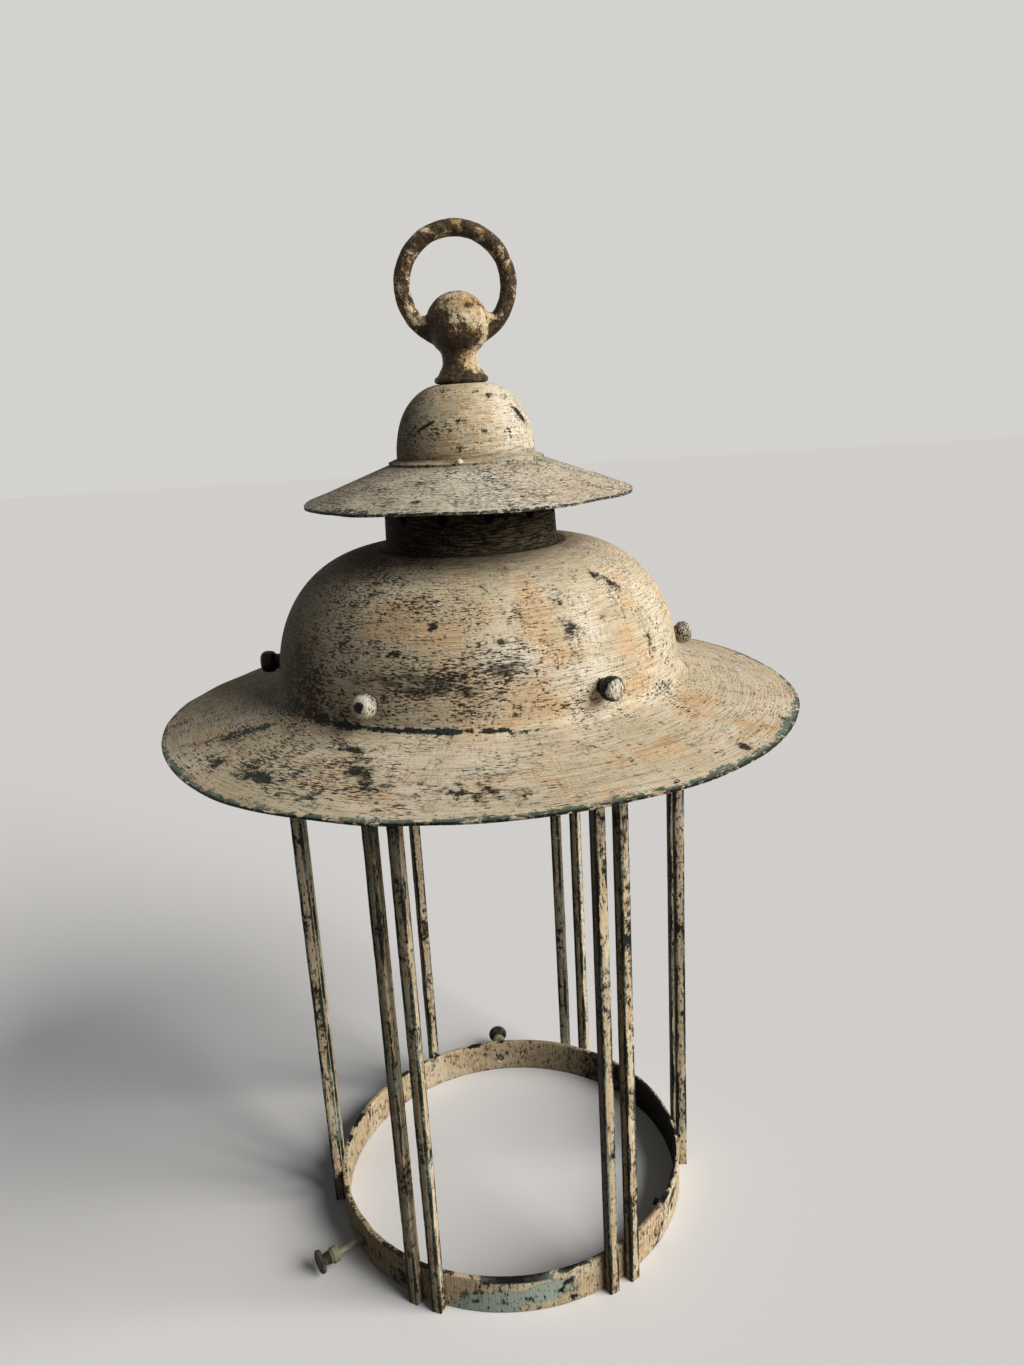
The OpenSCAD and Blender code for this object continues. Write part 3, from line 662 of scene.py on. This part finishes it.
CAP_MARKS = [
    ("bare", -46, 345, 25, 9, 0, 0.55), ("bare", -26, 343, 10, 5, 0, 0.45),
    ("chips", -25, 381, 3.5, 3.5, 0, 0.75), ("chips", -21, 359, 4, 2.6, 0, 0.8),
    ("chips", -64, 371, 5, 2.6, 0, 0.7), ("chips", 62, 352, 4, 4, 0, 0.5),
    ("ochre", 45, 358, 30, 12, 0, 0.5), ("chips", 170, 362, 26, 7, 20, 0.45),
    ("streaks", 0, 380, 60, 9, 0, 0.5)]


def cap_under(radius):
    """Height of the rain cap's underside."""
    return NECK_Z + (NECK_TOP_R - radius) * math.tan(CAP_SLOPE)


def make_cap():
    """Rain cap: a cone of sheet."""
    thick = SHEET / math.cos(CAP_SLOPE)
    low, high = (CAP_R, cap_under(CAP_R)), (CAP_HOLE_R, cap_under(CAP_HOLE_R))
    under = line(low, high, 12)
    top = line((high[0], high[1] + thick), (low[0], low[1] + thick), 34)
    cap = spin("rain_cap_sheet", under + top, 260)
    fields, places, azimuth, radius = mark_fields(cap, CAP_MARKS + back_marks(4, 18, 345, 405))
    out = np.clip((radius - NECK_R) / (CAP_R - NECK_R), 0, 1)
    wave = uneven(places * [1, 1, 0.2], 42, 5) * 1.1 + uneven(places * [1, 1, 0.2], 15, 6) * 0.3
    places[:, 2] += out ** 2 * wave
    width = np.maximum(1.4 + 1.2 * uneven(places * [1, 1, 0], 14, 7), 0.6)
    at_least(fields, "bare", np.clip(1.1 - (CAP_R - radius) / width, 0, 0.55))
    # Painted shade next to the crown, where it meets the cap, and down the left side
    fields["grime_and_shade"] = np.maximum(np.clip(1 - (radius - CROWN_R - LIP_W) / 12, 0, 1) * 0.4,
                                 np.exp(-((azimuth + 80) / 40) ** 2) * 0.4)
    fields["specks"] = np.full(len(places), 0.55)
    at_least(fields, "scuff", 0.45 * np.exp(-((azimuth + 5) / 50) ** 2))
    move_points(cap, places)
    put_fields(cap, fields)
    ride_as(cap, "rain_cap", CAP_PAINT)


CROWN_MARKS = [
    ("chips", 57, 436, 6.5, 2.4, -61, 1.0), ("chips", -37, 431, 6.5, 1.3, 33, 0.95),
    ("chips", 15, 456, 3, 1.6, 0, 0.8), ("chips", 30, 452, 4, 3, 0, 0.6), ("chips", 14, 427, 2, 2, 0, 0.75),
    ("chips", -7, 434, 1.4, 2, 0, 0.75), ("chips", -7, 418, 2, 1.8, 0, 0.75),
    ("ochre", -13, 423, 7, 7, 0, 0.8), ("ochre", 0, 450, 5, 4, 0, 0.7), ("ochre", 35, 432, 6, 8, 0, 0.5)]


def make_crown():
    """Crown: a spun dome with a flat seat and a lip that lies on the cap."""
    thick = SHEET / math.cos(CAP_SLOPE)
    lip_r = CROWN_R + LIP_W
    slope = math.degrees(CAP_SLOPE)
    turn = arc(CROWN_R + LIP_TURN, CROWN_LOW, LIP_TURN, 270 - slope, 180, 5)
    face = joined(
        line((lip_r, cap_under(lip_r) + 2 * thick), turn[0], 4),
        turn,
        swell(CROWN_R, SEAT_R, CROWN_LOW, CROWN_H, CROWN_FULL, 34),
        [(STUD_R + PLAY, CROWN_LOW + CROWN_H)])
    crown = spin("crown_spun", face + inside(face, SHEET)[::-1], 160)
    fields, places, azimuth, radius = mark_fields(crown, CROWN_MARKS + back_marks(5, 18, 410, 470))
    height = places[:, 2] - CROWN_LOW
    between = np.clip(height / 4, 0, 1) * np.clip((CROWN_H - height) / 4, 0, 1)
    away = (uneven(places, 16, 8) * 0.25 * between / radius)[:, None] * places * [1, 1, 0]
    # Painted shade along the foot, where it meets the cap, and down the left side
    fields["grime_and_shade"] = np.maximum(np.exp(-(height / 2.2) ** 2) * 0.6,
                                 np.exp(-((azimuth + 88) / 36) ** 2) * 0.6)
    at_least(fields, "specks", 0.5 * np.exp(-((azimuth + 60) / 40) ** 2))
    at_least(fields, "scuff", 0.6 * np.exp(-((azimuth - 45) / 30) ** 2))
    at_least(fields, "ochre", 0.35 * np.exp(-((azimuth - 5) / 45) ** 2))
    at_least(fields, "streaks", 0.2 + 0.9 * uneven(places, 6, 26))
    at_least(fields, "chips", np.exp(-((radius - lip_r) / 1.2) ** 2) * 0.25)
    move_points(crown, places + away)
    put_fields(crown, fields)
    ride_as(crown, "crown", CROWN_PAINT)


def make_eye():
    """Hanging eye: foot, neck, ball and ring, cast in one, with the soft blends of a sand casting."""
    rim_top = EYE_LOW + 2 * EYE_RIM_R
    flare = line((EYE_FOOT_R - EYE_RIM_R, rim_top), (EYE_NECK_R, rim_top + FOOT_RISE), 8)
    sweep_x = EYE_NECK_R + BALL_SWEEP
    drop = math.sqrt((BALL_R + BALL_SWEEP) ** 2 - sweep_x ** 2)
    sweep_z = BALL_Z - drop
    blend = math.degrees(math.atan2(drop, -sweep_x))
    stem = spin("hanging_eye_cast", joined(
        [(0, EYE_LOW)],
        arc(EYE_FOOT_R - EYE_RIM_R, EYE_LOW + EYE_RIM_R, EYE_RIM_R, -90, 90, 8),
        flare,
        arc(sweep_x, sweep_z, BALL_SWEEP, 180, blend, 6),
        [(0, BALL_Z)]), 96)
    parts = [stem]
    bpy.ops.mesh.primitive_uv_sphere_add(segments=64, ring_count=32, radius=BALL_R * MM,
                                         location=(0, 0, BALL_Z * MM))
    parts.append(bpy.context.object)
    bpy.ops.mesh.primitive_torus_add(major_segments=96, minor_segments=28, major_radius=RING_R * MM,
                                     minor_radius=RING_ROD_R * MM, location=(0, 0, RING_Z * MM),
                                     rotation=(math.pi / 2, 0, 0))
    parts.append(bpy.context.object)
    for side in (-1, 1):
        bpy.ops.mesh.primitive_cone_add(vertices=40, radius1=ARM_R * MM, radius2=RING_ROD_R * MM,
                                        depth=ARM_L * MM)
        taper = bpy.context.object
        taper.data.transform(Matrix.Translation((side * ARM_L / 2 * MM, 0, BALL_Z * MM))
                             @ Matrix.Rotation(side * math.pi / 2, 4, "Y"))
        parts.append(taper)
    bpy.ops.object.select_all(action="DESELECT")
    for part in parts:
        part.select_set(True)
    bpy.context.view_layer.objects.active = stem
    bpy.ops.object.transform_apply(location=True, rotation=True, scale=True)
    bpy.ops.object.join()
    stem.data.remesh_voxel_size = SAND_GRIT * MM
    bpy.ops.object.voxel_remesh()
    smooth = stem.modifiers.new("blend", "SMOOTH")
    smooth.factor = 0.5
    smooth.iterations = 6
    bpy.ops.object.modifier_apply(modifier=smooth.name)
    bpy.ops.object.shade_smooth()
    places, normals = points_of(stem)
    rough = uneven(places, 9, 9) * 0.30 + uneven(places, 3.2, 10) * 0.14
    rough *= np.clip((places[:, 2] - EYE_LOW) / 3, 0, 1)
    move_points(stem, places + normals * rough[:, None])
    ball = np.exp(-(np.linalg.norm(places - [0, 0, BALL_Z], axis=1) / (BALL_R * 1.15)) ** 6)
    foot = np.exp(-((places[:, 2] - EYE_LOW - 9) / 5) ** 2)
    # Paint is left at the left of the ring; on the upper right of the ball and at the right of the neck,
    # where they face the lamp, it is paint and painted light
    lit = np.clip(0.45 + 0.6 * normals[:, 0] + 0.45 * normals[:, 2], 0, 1)
    ring = (1 - ball) * (places[:, 2] > BALL_Z)
    left = np.clip(-places[:, 0] / RING_R, 0, 1) * np.clip((RING_Z + 12 - places[:, 2]) / 20, 0, 1)
    paint_and_light = 0.85 * ball * lit + 0.55 * foot * lit + ring * (0.24 + 0.2 * left) + 0.12
    write_field(stem, "paint_and_light", paint_and_light + 0.25 * uneven(places, 8, 25))
    ride_as(stem, "hanging_eye", EYE_IRON)


make_hood()
make_cap()
make_crown()
make_eye()


def plain_metal(name, tone, spots, roughness, metallic, gloss=0.5):
    """Dull metal or glaze: one tone with spots of another, in a fine grain."""
    material, tree = new_material(name)
    place = place_in_mm(tree)
    patch, grain = patterns(tree, [(place, 7, 6, 0.7, 0), (place, 0.9, 3, 0.5, 0)])[0]
    colour = coat(tree, tone, spots, soft_step(tree, [(patch, 1), (grain, 0.3)], 0.60, 0.78))
    height = sums(tree, (grain, 0.12), (patch, 0.1))
    finish_material(tree, colour.outputs[2], roughness, height, Metallic=metallic, Specular_IOR_Level=gloss)
    return material


# Screws: brass gone brown-black, with the cream paint of the hood left on the heads of some
KNOB_TONES = dict(HOOD_TONES, cream="#c4beab", pale="#ded8c8", ochre="#a8946e", undercoat="#2f2f27",
                  smear="#4a463a", rust="#2a2018")
KNOB_PAINT = worn_paint("paint_on_brass_screws", bar_strokes, KNOB_TONES, 8, 3.4, 0.7, 1.12, 0.66, 0.6,
                        dullness=0.42, gloss=0.1)
DARK_BRASS = plain_metal("patina_on_brass", "#34322a", "#6f6c5a", 0.62, 0.25, 0.05)
PIN_SHANK = plain_metal("verdigris_on_thread", "#7d8068", "#b0a988", 0.75, 0.1, 0.15)
# Inside: oxidised steel, glazed porcelain under dust, tarnished lamp-socket brass and a torn, rusty stub
INNER_STEEL = plain_metal("oxidised_steel", "#3f3a34", "#5d4630", 0.55, 0.6)
PORCELAIN = plain_metal("dusty_porcelain", "#d9d3c4", "#b8ae98", 0.28, 0.0)
SOCKET_BRASS = plain_metal("tarnished_brass", "#8a6a34", "#5a4526", 0.42, 0.85)
TORN_IRON = plain_metal("torn_black_iron", "#14110e", "#30231a", 0.8, 0.2)


def blank_bar(name):
    """A square bar with rounded edges, standing on the origin, in rings of 16 points."""
    half, turn = BAR_W / 2, BAR_EDGE
    outline = []
    for corner in range(4):
        for angle in (0, 45, 90):
            a = math.radians(angle)
            x, y = half - turn + turn * math.cos(a), half - turn + turn * math.sin(a)
            outline.append(Matrix.Rotation(corner * math.pi / 2, 2) @ Vector((x, y)))
        outline.append(Matrix.Rotation((corner + 1) * math.pi / 2, 2) @ Vector((half, 0)))
    bpy.ops.mesh.primitive_circle_add(vertices=len(outline), radius=1, fill_type="NGON")
    bar = bpy.context.object
    bar.name = name
    for vertex, point in zip(bar.data.vertices, outline):
        vertex.co = (point.x * MM, point.y * MM, 0)
    bpy.ops.object.mode_set(mode="EDIT")
    bpy.ops.mesh.select_all(action="SELECT")
    for _ in range(BAR_RINGS):
        bpy.ops.mesh.extrude_region_move(TRANSFORM_OT_translate={"value": (0, 0, BAR_L / BAR_RINGS * MM)})
    bpy.ops.mesh.select_all(action="SELECT")
    bpy.ops.mesh.normals_make_consistent(inside=False)
    bpy.ops.object.mode_set(mode="OBJECT")
    bpy.ops.object.shade_smooth_by_angle(angle=math.radians(50))
    bar.select_set(False)
    return bar


def make_bars():
    """Twelve bars in six pairs, each with its own dents and its own chipped edges."""
    face = math.sqrt(BAND_R ** 2 - (BAR_W / 2) ** 2)
    half_pair = math.degrees(math.asin((BAR_GAP + BAR_W) / 2 / (BAND_R + BAR_W / 2)))
    blank = blank_bar("bar_blank")
    for number in range(1, 2 * PAIRS + 1):
        bar = blank.copy()
        bar.data = blank.data.copy()
        bar.name = f"bar_forged_{number}"
        bpy.context.collection.objects.link(bar)
        places, normals = points_of(bar)
        shifted = places + [0, 0, 400 * number]
        corner = np.minimum(np.abs(places[:, 0]), np.abs(places[:, 1])) / (BAR_W / 2)
        dent = 0.22 * uneven(shifted, 30, 11) + 0.18 * uneven(shifted, 6, 12) * corner
        inner = places[:, 0] < 0
        dent[inner] *= 0.3
        azimuth = FIRST_PAIR + (number - 1) // 2 * PAIR_STEP + (-half_pair if number % 2 else half_pair)
        turn = Matrix.Rotation(math.radians(azimuth - 90), 4, "Z")
        # Rubbed along the edges; on the faces to the left, away from the lamp, the bare edges are wider and
        # the paint darker, as painted shade. Darker towards the top
        shaded_left = np.clip(-(normals @ np.array(turn.to_3x3()).T)[:, 0], 0, 1)
        chips = 0.12 + 0.6 * uneven(shifted * [1, 1, 0.4], 9, 13)
        rubbed = 0.8 + 0.55 * shaded_left + 0.65 * uneven(shifted * [1, 1, 0.6], 12, 24)
        edges = np.clip((corner - 0.6) / 0.25, 0, 1) * rubbed
        fields = {"chips": np.clip(chips, 0, 1), "bare": np.clip(edges, 0, 1),
                  "green": 0.25 + 0.9 * uneven(shifted, 24, 14), "specks": np.full(len(places), 0.1),
                  "grime_and_shade": np.maximum(np.clip((places[:, 2] - BAR_L + 40) / 40, 0, 1) * 0.5, 0.55 * shaded_left),
                  "ochre": np.exp(-((places[:, 2] / 14) ** 2)) * 0.6}
        move_points(bar, places + normals * dent[:, None])
        put_fields(bar, fields)
        bar.data.transform(turn @ Matrix.Translation(((face + BAR_W / 2) * MM, 0, 0)))
        ride_as(bar, f"cage_bar_{number}", CAGE_PAINT)
    bpy.data.objects.remove(blank)


# Marks on the lower band, by azimuth in degrees and run in millimetres
BAND_MARKS = [
    ("bare", -10, -99, 25, 10, 8, 0.95), ("green", -5, -97, 40, 18, 6, 1.3),
    ("bare", 7, -94, 19, 8, 8, 0.95), ("chips", 12.5, -91, 3, 2, 0, 1.2),
    ("chips", 10, -95, 2.2, 1.8, 0, 1.2), ("chips", -14, -93, 3, 1.6, 0, 0.7),
    ("chips", -15, -98, 3, 1.6, 0, 0.7), ("chips", 0, -97, 5, 1.8, 0, 0.6),
    ("chips", 50, -98, 14, 5, 30, 0.5), ("chips", -40, -98, 10, 5, 0, 0.5),
    ("ochre", 35, -96, 30, 10, 0, 0.7), ("ochre", -60, -96, 30, 10, 0, 0.6),
    ("chips", -60, -97, 6, 5, 0, 0.5), ("chips", 62, -90, 10, 3, 0, 0.8)]


def make_low_band():
    """Lower band: flat bar bent round, with a lapped joint and three tapped holes."""
    inner, turn = BAND_R - BAND_T, BAND_EDGE
    outline = joined(
        line((inner + turn, 0), (BAND_R - turn, 0), 2),
        arc(BAND_R - turn, turn, turn, -90, 0, 3),
        line((BAND_R, turn), (BAND_R, LOW_BAND_H - turn), 14),
        arc(BAND_R - turn, LOW_BAND_H - turn, turn, 0, 90, 3),
        line((BAND_R - turn, LOW_BAND_H), (inner + turn, LOW_BAND_H), 3),
        arc(inner + turn, LOW_BAND_H - turn, turn, 90, 180, 3),
        line((inner, LOW_BAND_H - turn), (inner, turn), 6),
        arc(inner + turn, turn, turn, 180, 270, 3)[:-1])
    band = spin("low_band_bent", outline, 240)
    cut(band, [(FIRST_PIN + i * PIN_STEP, PIN_Z, PIN_R + PIN_PLAY, inner - DRILL_REACH, BAND_R + DRILL_REACH)
               for i in range(PINS)])
    fields, places, azimuth, radius = mark_fields(band, BAND_MARKS)
    top = np.clip((places[:, 2] - LOW_BAND_H + 2.4) / 2.4, 0, 1)
    ragged = uneven(places * [1, 1, 0], 9, 15)
    at_least(fields, "bare", top * np.clip(0.42 + 0.6 * ragged, 0, 0.9))
    fields["edge"] = top * np.clip(0.4 + ragged, 0, 1)
    # Black iron along the top of the front, over the green patch
    black = np.clip((places[:, 2] - LOW_BAND_H + 3.2) / 1.2, 0, 1) * np.exp(-((azimuth + 3) / 11.5) ** 4)
    at_least(fields, "bare", black * 1.1)
    at_least(fields, "edge", black)
    at_least(fields, "bare", np.exp(-(places[:, 2] / 1.2) ** 2) * 0.5)
    at_least(fields, "chips", 0.5 * uneven(places, 9, 16))
    # The wall inside, at the right, is darkened and chipped to near black
    inside_right = (radius < BAND_R - 1.2) * np.exp(-((azimuth - 95) / 48) ** 2)
    fields["grime_and_shade"] = np.clip(inside_right * 1.2, 0, 1)
    at_least(fields, "chips", inside_right)
    at_least(fields, "ochre", 0.1)
    # Step of the lapped joint, and the band's own unevenness
    joint = np.clip((azimuth - LAP_AT) / 0.8, -1, 1) * np.exp(-((azimuth - LAP_AT) / 6) ** 2)
    away = 0.3 * uneven(places * [1, 1, 0.3], 40, 17) + 0.10 * uneven(places, 7, 18) + 0.35 * joint
    places = places + (away / radius)[:, None] * places * [1, 1, 0]
    places[:, 2] += 0.35 * uneven(places * [1, 1, 0], 16, 19) * np.clip((places[:, 2] - 15) / 7, 0, 1)
    move_points(band, places)
    put_fields(band, fields)
    ride_as(band, "low_band", CAGE_PAINT)


# How much of each hood screw's head is worn to dark metal, on its face and on its flank; these amounts are
# partly painted light and shade: the dark flanks, the sixth screw dark all over at the left, the third
# lighter at the right
KNOB_WEAR_AND_SHADE = ((-0.3, 0.6), (0.5, 1.7), (0.4, 0.35), (0.8, 0.7), (0.5, 0.9), (1.4, 1.4))


def make_hood_screws():
    """Six hood screws with turned round heads, each with its own worn paint."""
    middle = KNOB_NECK_L + KNOB_L / 2
    ball = swell(KNOB_R, 0, middle, KNOB_L / 2, KNOB_FULL, 14)
    shank = SCREW_HEAD_X - SCREW_POINT_X
    outline = joined(
        [(0, -shank), (SCREW_R - SCREW_POINT, -shank), (SCREW_R, SCREW_POINT - shank)],
        line((SCREW_R, SCREW_POINT - shank), (SCREW_R, 0), 3), [(KNOB_NECK_R, 0), (KNOB_NECK_R, KNOB_NECK_L)],
        [(r, 2 * middle - z) for r, z in reversed(ball) if r > KNOB_NECK_R], ball)
    for number, (face_wear_and_shade, flank_wear_and_shade) in enumerate(KNOB_WEAR_AND_SHADE, start=1):
        screw = spin(f"hood_screw_turned_{number}", outline, 48)
        places, normals = points_of(screw)
        shifted = places + [0, 60 * number, 0]
        rough = 0.22 * uneven(shifted, 4.5, 20) + 0.08 * uneven(shifted, 1.6, 21)
        rough *= places[:, 2] > KNOB_NECK_L
        face = np.clip(normals[:, 2], 0, 1)
        wear_and_shade = face_wear_and_shade * face + flank_wear_and_shade * (1 - face) + 0.35 * uneven(shifted, 3.5, 22)
        # Painted shade below the head, where it shades itself, and on the flank; the dark wedge on the face
        # of the first screw, and that face made paler, partly a painted highlight
        fields = {"chips": np.clip(wear_and_shade - 0.35, 0, 1), "specks": np.full(len(places), 0.8),
                  "grime_and_shade": np.clip(1.2 - places[:, 2] / 2.5, 0, 1) * 0.8 + 0.35 * (1 - face)}
        if number == 1:
            wedge = np.exp(-(((places[:, 0] + 0.7) / 2.7) ** 2 + ((places[:, 1] - 0.6) / 2.8) ** 2) ** 2)
            wedge *= places[:, 1] + 0.5 * places[:, 0] < 1.9
            fields["chips"] = np.maximum(fields["chips"] * (1 - face), 1.5 * wedge * face)
            fields["specks"] *= 1 - face
            fields["scuff"] = 1.2 * face
        move_points(screw, places + normals * rough[:, None])
        put_fields(screw, fields)
        screw.data.transform(outward(FIRST_PAIR + (number - 1) * PAIR_STEP, SCREW_HEAD_X, SCREW_Z))
        ride_as(screw, f"hood_screw_{number}", KNOB_PAINT, f"hood_screw_{number}")


def make_glass_screws():
    """Two glass screws: threaded shank, collar, tapered waist and finger disc."""
    tip = -PIN_TIP
    waist = PIN_COLLAR_L + PIN_WAIST_L
    end = waist + PIN_DISC_T
    outline = joined(
        [(0, tip)],
        line((PIN_R - SCREW_POINT, tip), (PIN_R, tip + SCREW_POINT), 4),
        line((PIN_R, tip + SCREW_POINT), (PIN_R, 0), 120),
        [(PIN_COLLAR_R - EDGE, 0)],
        arc(PIN_COLLAR_R - EDGE, EDGE, EDGE, -90, 0, 4),
        arc(PIN_COLLAR_R - EDGE, PIN_COLLAR_L - EDGE, EDGE, 0, 90, 4),
        line((PIN_COLLAR_R - EDGE, PIN_COLLAR_L), (PIN_WAIST_R, waist), 6),
        arc(PIN_DISC_R - EDGE, waist + EDGE, EDGE, -90, 0, 4),
        arc(PIN_DISC_R - EDGE, end - EDGE, EDGE, 0, 90, 4),
        line((PIN_DISC_R - EDGE, end), (0, end), 5))
    for number in (1, 2):
        screw = spin(f"glass_screw_threaded_{number}", outline, 40)
        places, normals = points_of(screw)
        radius = np.hypot(places[:, 0], places[:, 1])
        turn = places[:, 2] / PITCH - np.arctan2(places[:, 1], places[:, 0]) / (2 * math.pi)
        ridge = np.abs(turn % 1 - 0.5) * 2
        on_shank = (places[:, 2] < -0.2) * (places[:, 2] > tip + 0.2) * (radius > PIN_R - SCREW_POINT)
        places[:, :2] *= (1 - on_shank * THREAD * ridge / np.maximum(radius, 1))[:, None]
        on_head = places[:, 2] > 0.5
        places += normals * (0.16 * uneven(places + [0, 30 * number, 0], 3, 23) * on_head)[:, None]
        move_points(screw, places)
        screw.data.transform(outward(FIRST_PIN + (number - 1) * 2 * PIN_STEP, BAND_R + PIN_OUT, PIN_Z))
        ride_as(screw, f"glass_screw_{number}", DARK_BRASS, f"glass_screw_{number}")
        # The shank and the collar are paler than the disc
        screw.data.materials.append(PIN_SHANK)
        for polygon in screw.data.polygons:
            middle = math.hypot(polygon.center.x, polygon.center.y) / MM - BAND_R - PIN_OUT
            polygon.material_index = 1 if middle < PIN_COLLAR_L + 1 else 0


make_bars()
make_low_band()
make_hood_screws()
make_glass_screws()

# The other nodes keep the part's own shapes and take the looks of their materials
FINISHES = {"crown_rivet_1": KNOB_PAINT, "crown_rivet_2": KNOB_PAINT, "crown_rivet_3": KNOB_PAINT,
            "top_band": CAGE_PAINT, "screw_stub": TORN_IRON, "bridge_strap": INNER_STEEL,
            "hanging_stud": INNER_STEEL, "stud_washer": INNER_STEEL, "stud_nut": INNER_STEEL,
            "holder_cap": PORCELAIN, "holder_body": PORCELAIN, "holder_shell": SOCKET_BRASS,
            "holder_contact": SOCKET_BRASS}
for node_name, finish in FINISHES.items():
    node_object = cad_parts[node_name]
    node_object.data.materials.clear()
    node_object.data.materials.append(finish)


def background_seen(tree):
    """1 for the rays that show the background: the camera's, and those of gloss and of glass."""
    path = add_node(tree, "ShaderNodeLightPath")
    seen = 0.0
    for ray in ("Is Camera Ray", "Is Glossy Ray", "Is Transmission Ray"):
        seen = add_node(tree, "ShaderNodeMath", {0: path.outputs[ray], 1: seen}, operation="MAXIMUM")
    return seen


def plain_stage():
    """Pale floor, pale surroundings and one wide, soft lamp at the right."""
    bpy.ops.mesh.primitive_plane_add(size=FLOOR_WIDTH, location=(0, 0, -FLOOR_DROP))
    floor = bpy.context.object
    floor.name = "floor"
    # Plain paper: matt and even. It is seen pale, but throws little light back up
    material, tree = new_material("floor_paper")
    colour = coat(tree, FLOOR_LIT, FLOOR_SHOWN, background_seen(tree))
    finish_material(tree, colour.outputs[2], 1.0, None, Specular_IOR_Level=0.0)
    floor.data.materials.append(material)

    world = bpy.data.worlds.new("surroundings")
    bpy.context.scene.world = world
    world.use_nodes = True
    tree = world.node_tree
    tree.nodes.clear()
    lit = add_node(tree, "ShaderNodeBackground", {"Color": srgb(SKY_LIT), "Strength": SKY_STRENGTH})
    shown = add_node(tree, "ShaderNodeBackground", {"Color": srgb(SKY_SHOWN), "Strength": 1.0})
    surface = add_node(tree, "ShaderNodeMixShader", {0: background_seen(tree), 1: lit, 2: shown})
    add_node(tree, "ShaderNodeOutputWorld", {"Surface": surface})

    lamp = bpy.data.lights.new("daylight", "SUN")
    lamp.energy = LAMP_STRENGTH
    lamp.angle = LAMP_WIDTH
    lamp.color = srgb(LAMP_COLOUR)[:3]
    holder = bpy.data.objects.new("daylight", lamp)
    across, front = math.sin(LAMP_SIDE), -math.cos(LAMP_SIDE)
    level = math.cos(LAMP_HEIGHT)
    aim = -Vector((level * across, level * front, math.sin(LAMP_HEIGHT)))
    holder.rotation_euler = aim.to_track_quat("-Z", "Y").to_euler()
    bpy.context.collection.objects.link(holder)


def photo_camera():
    """Camera at the photograph's place, with its lens."""
    camera = bpy.data.cameras.new("photo_camera")
    camera.sensor_width = SENSOR
    camera.lens = SENSOR * FOCAL_PIXELS / PHOTO_HEIGHT
    camera.clip_start = 0.01
    holder = bpy.data.objects.new("photo_camera", camera)
    aim = Vector(CAMERA_AIM).normalized()
    right = Vector(CAMERA_RIGHT).normalized()
    up = right.cross(aim)
    turn = Matrix((right, up, -aim)).transposed().to_4x4()
    holder.matrix_world = Matrix.Translation(Vector(CAMERA_PLACE) * MM) @ turn
    bpy.context.collection.objects.link(holder)
    bpy.context.scene.camera = holder


plain_stage()
photo_camera()
bpy.context.scene.view_settings.view_transform = "Standard"
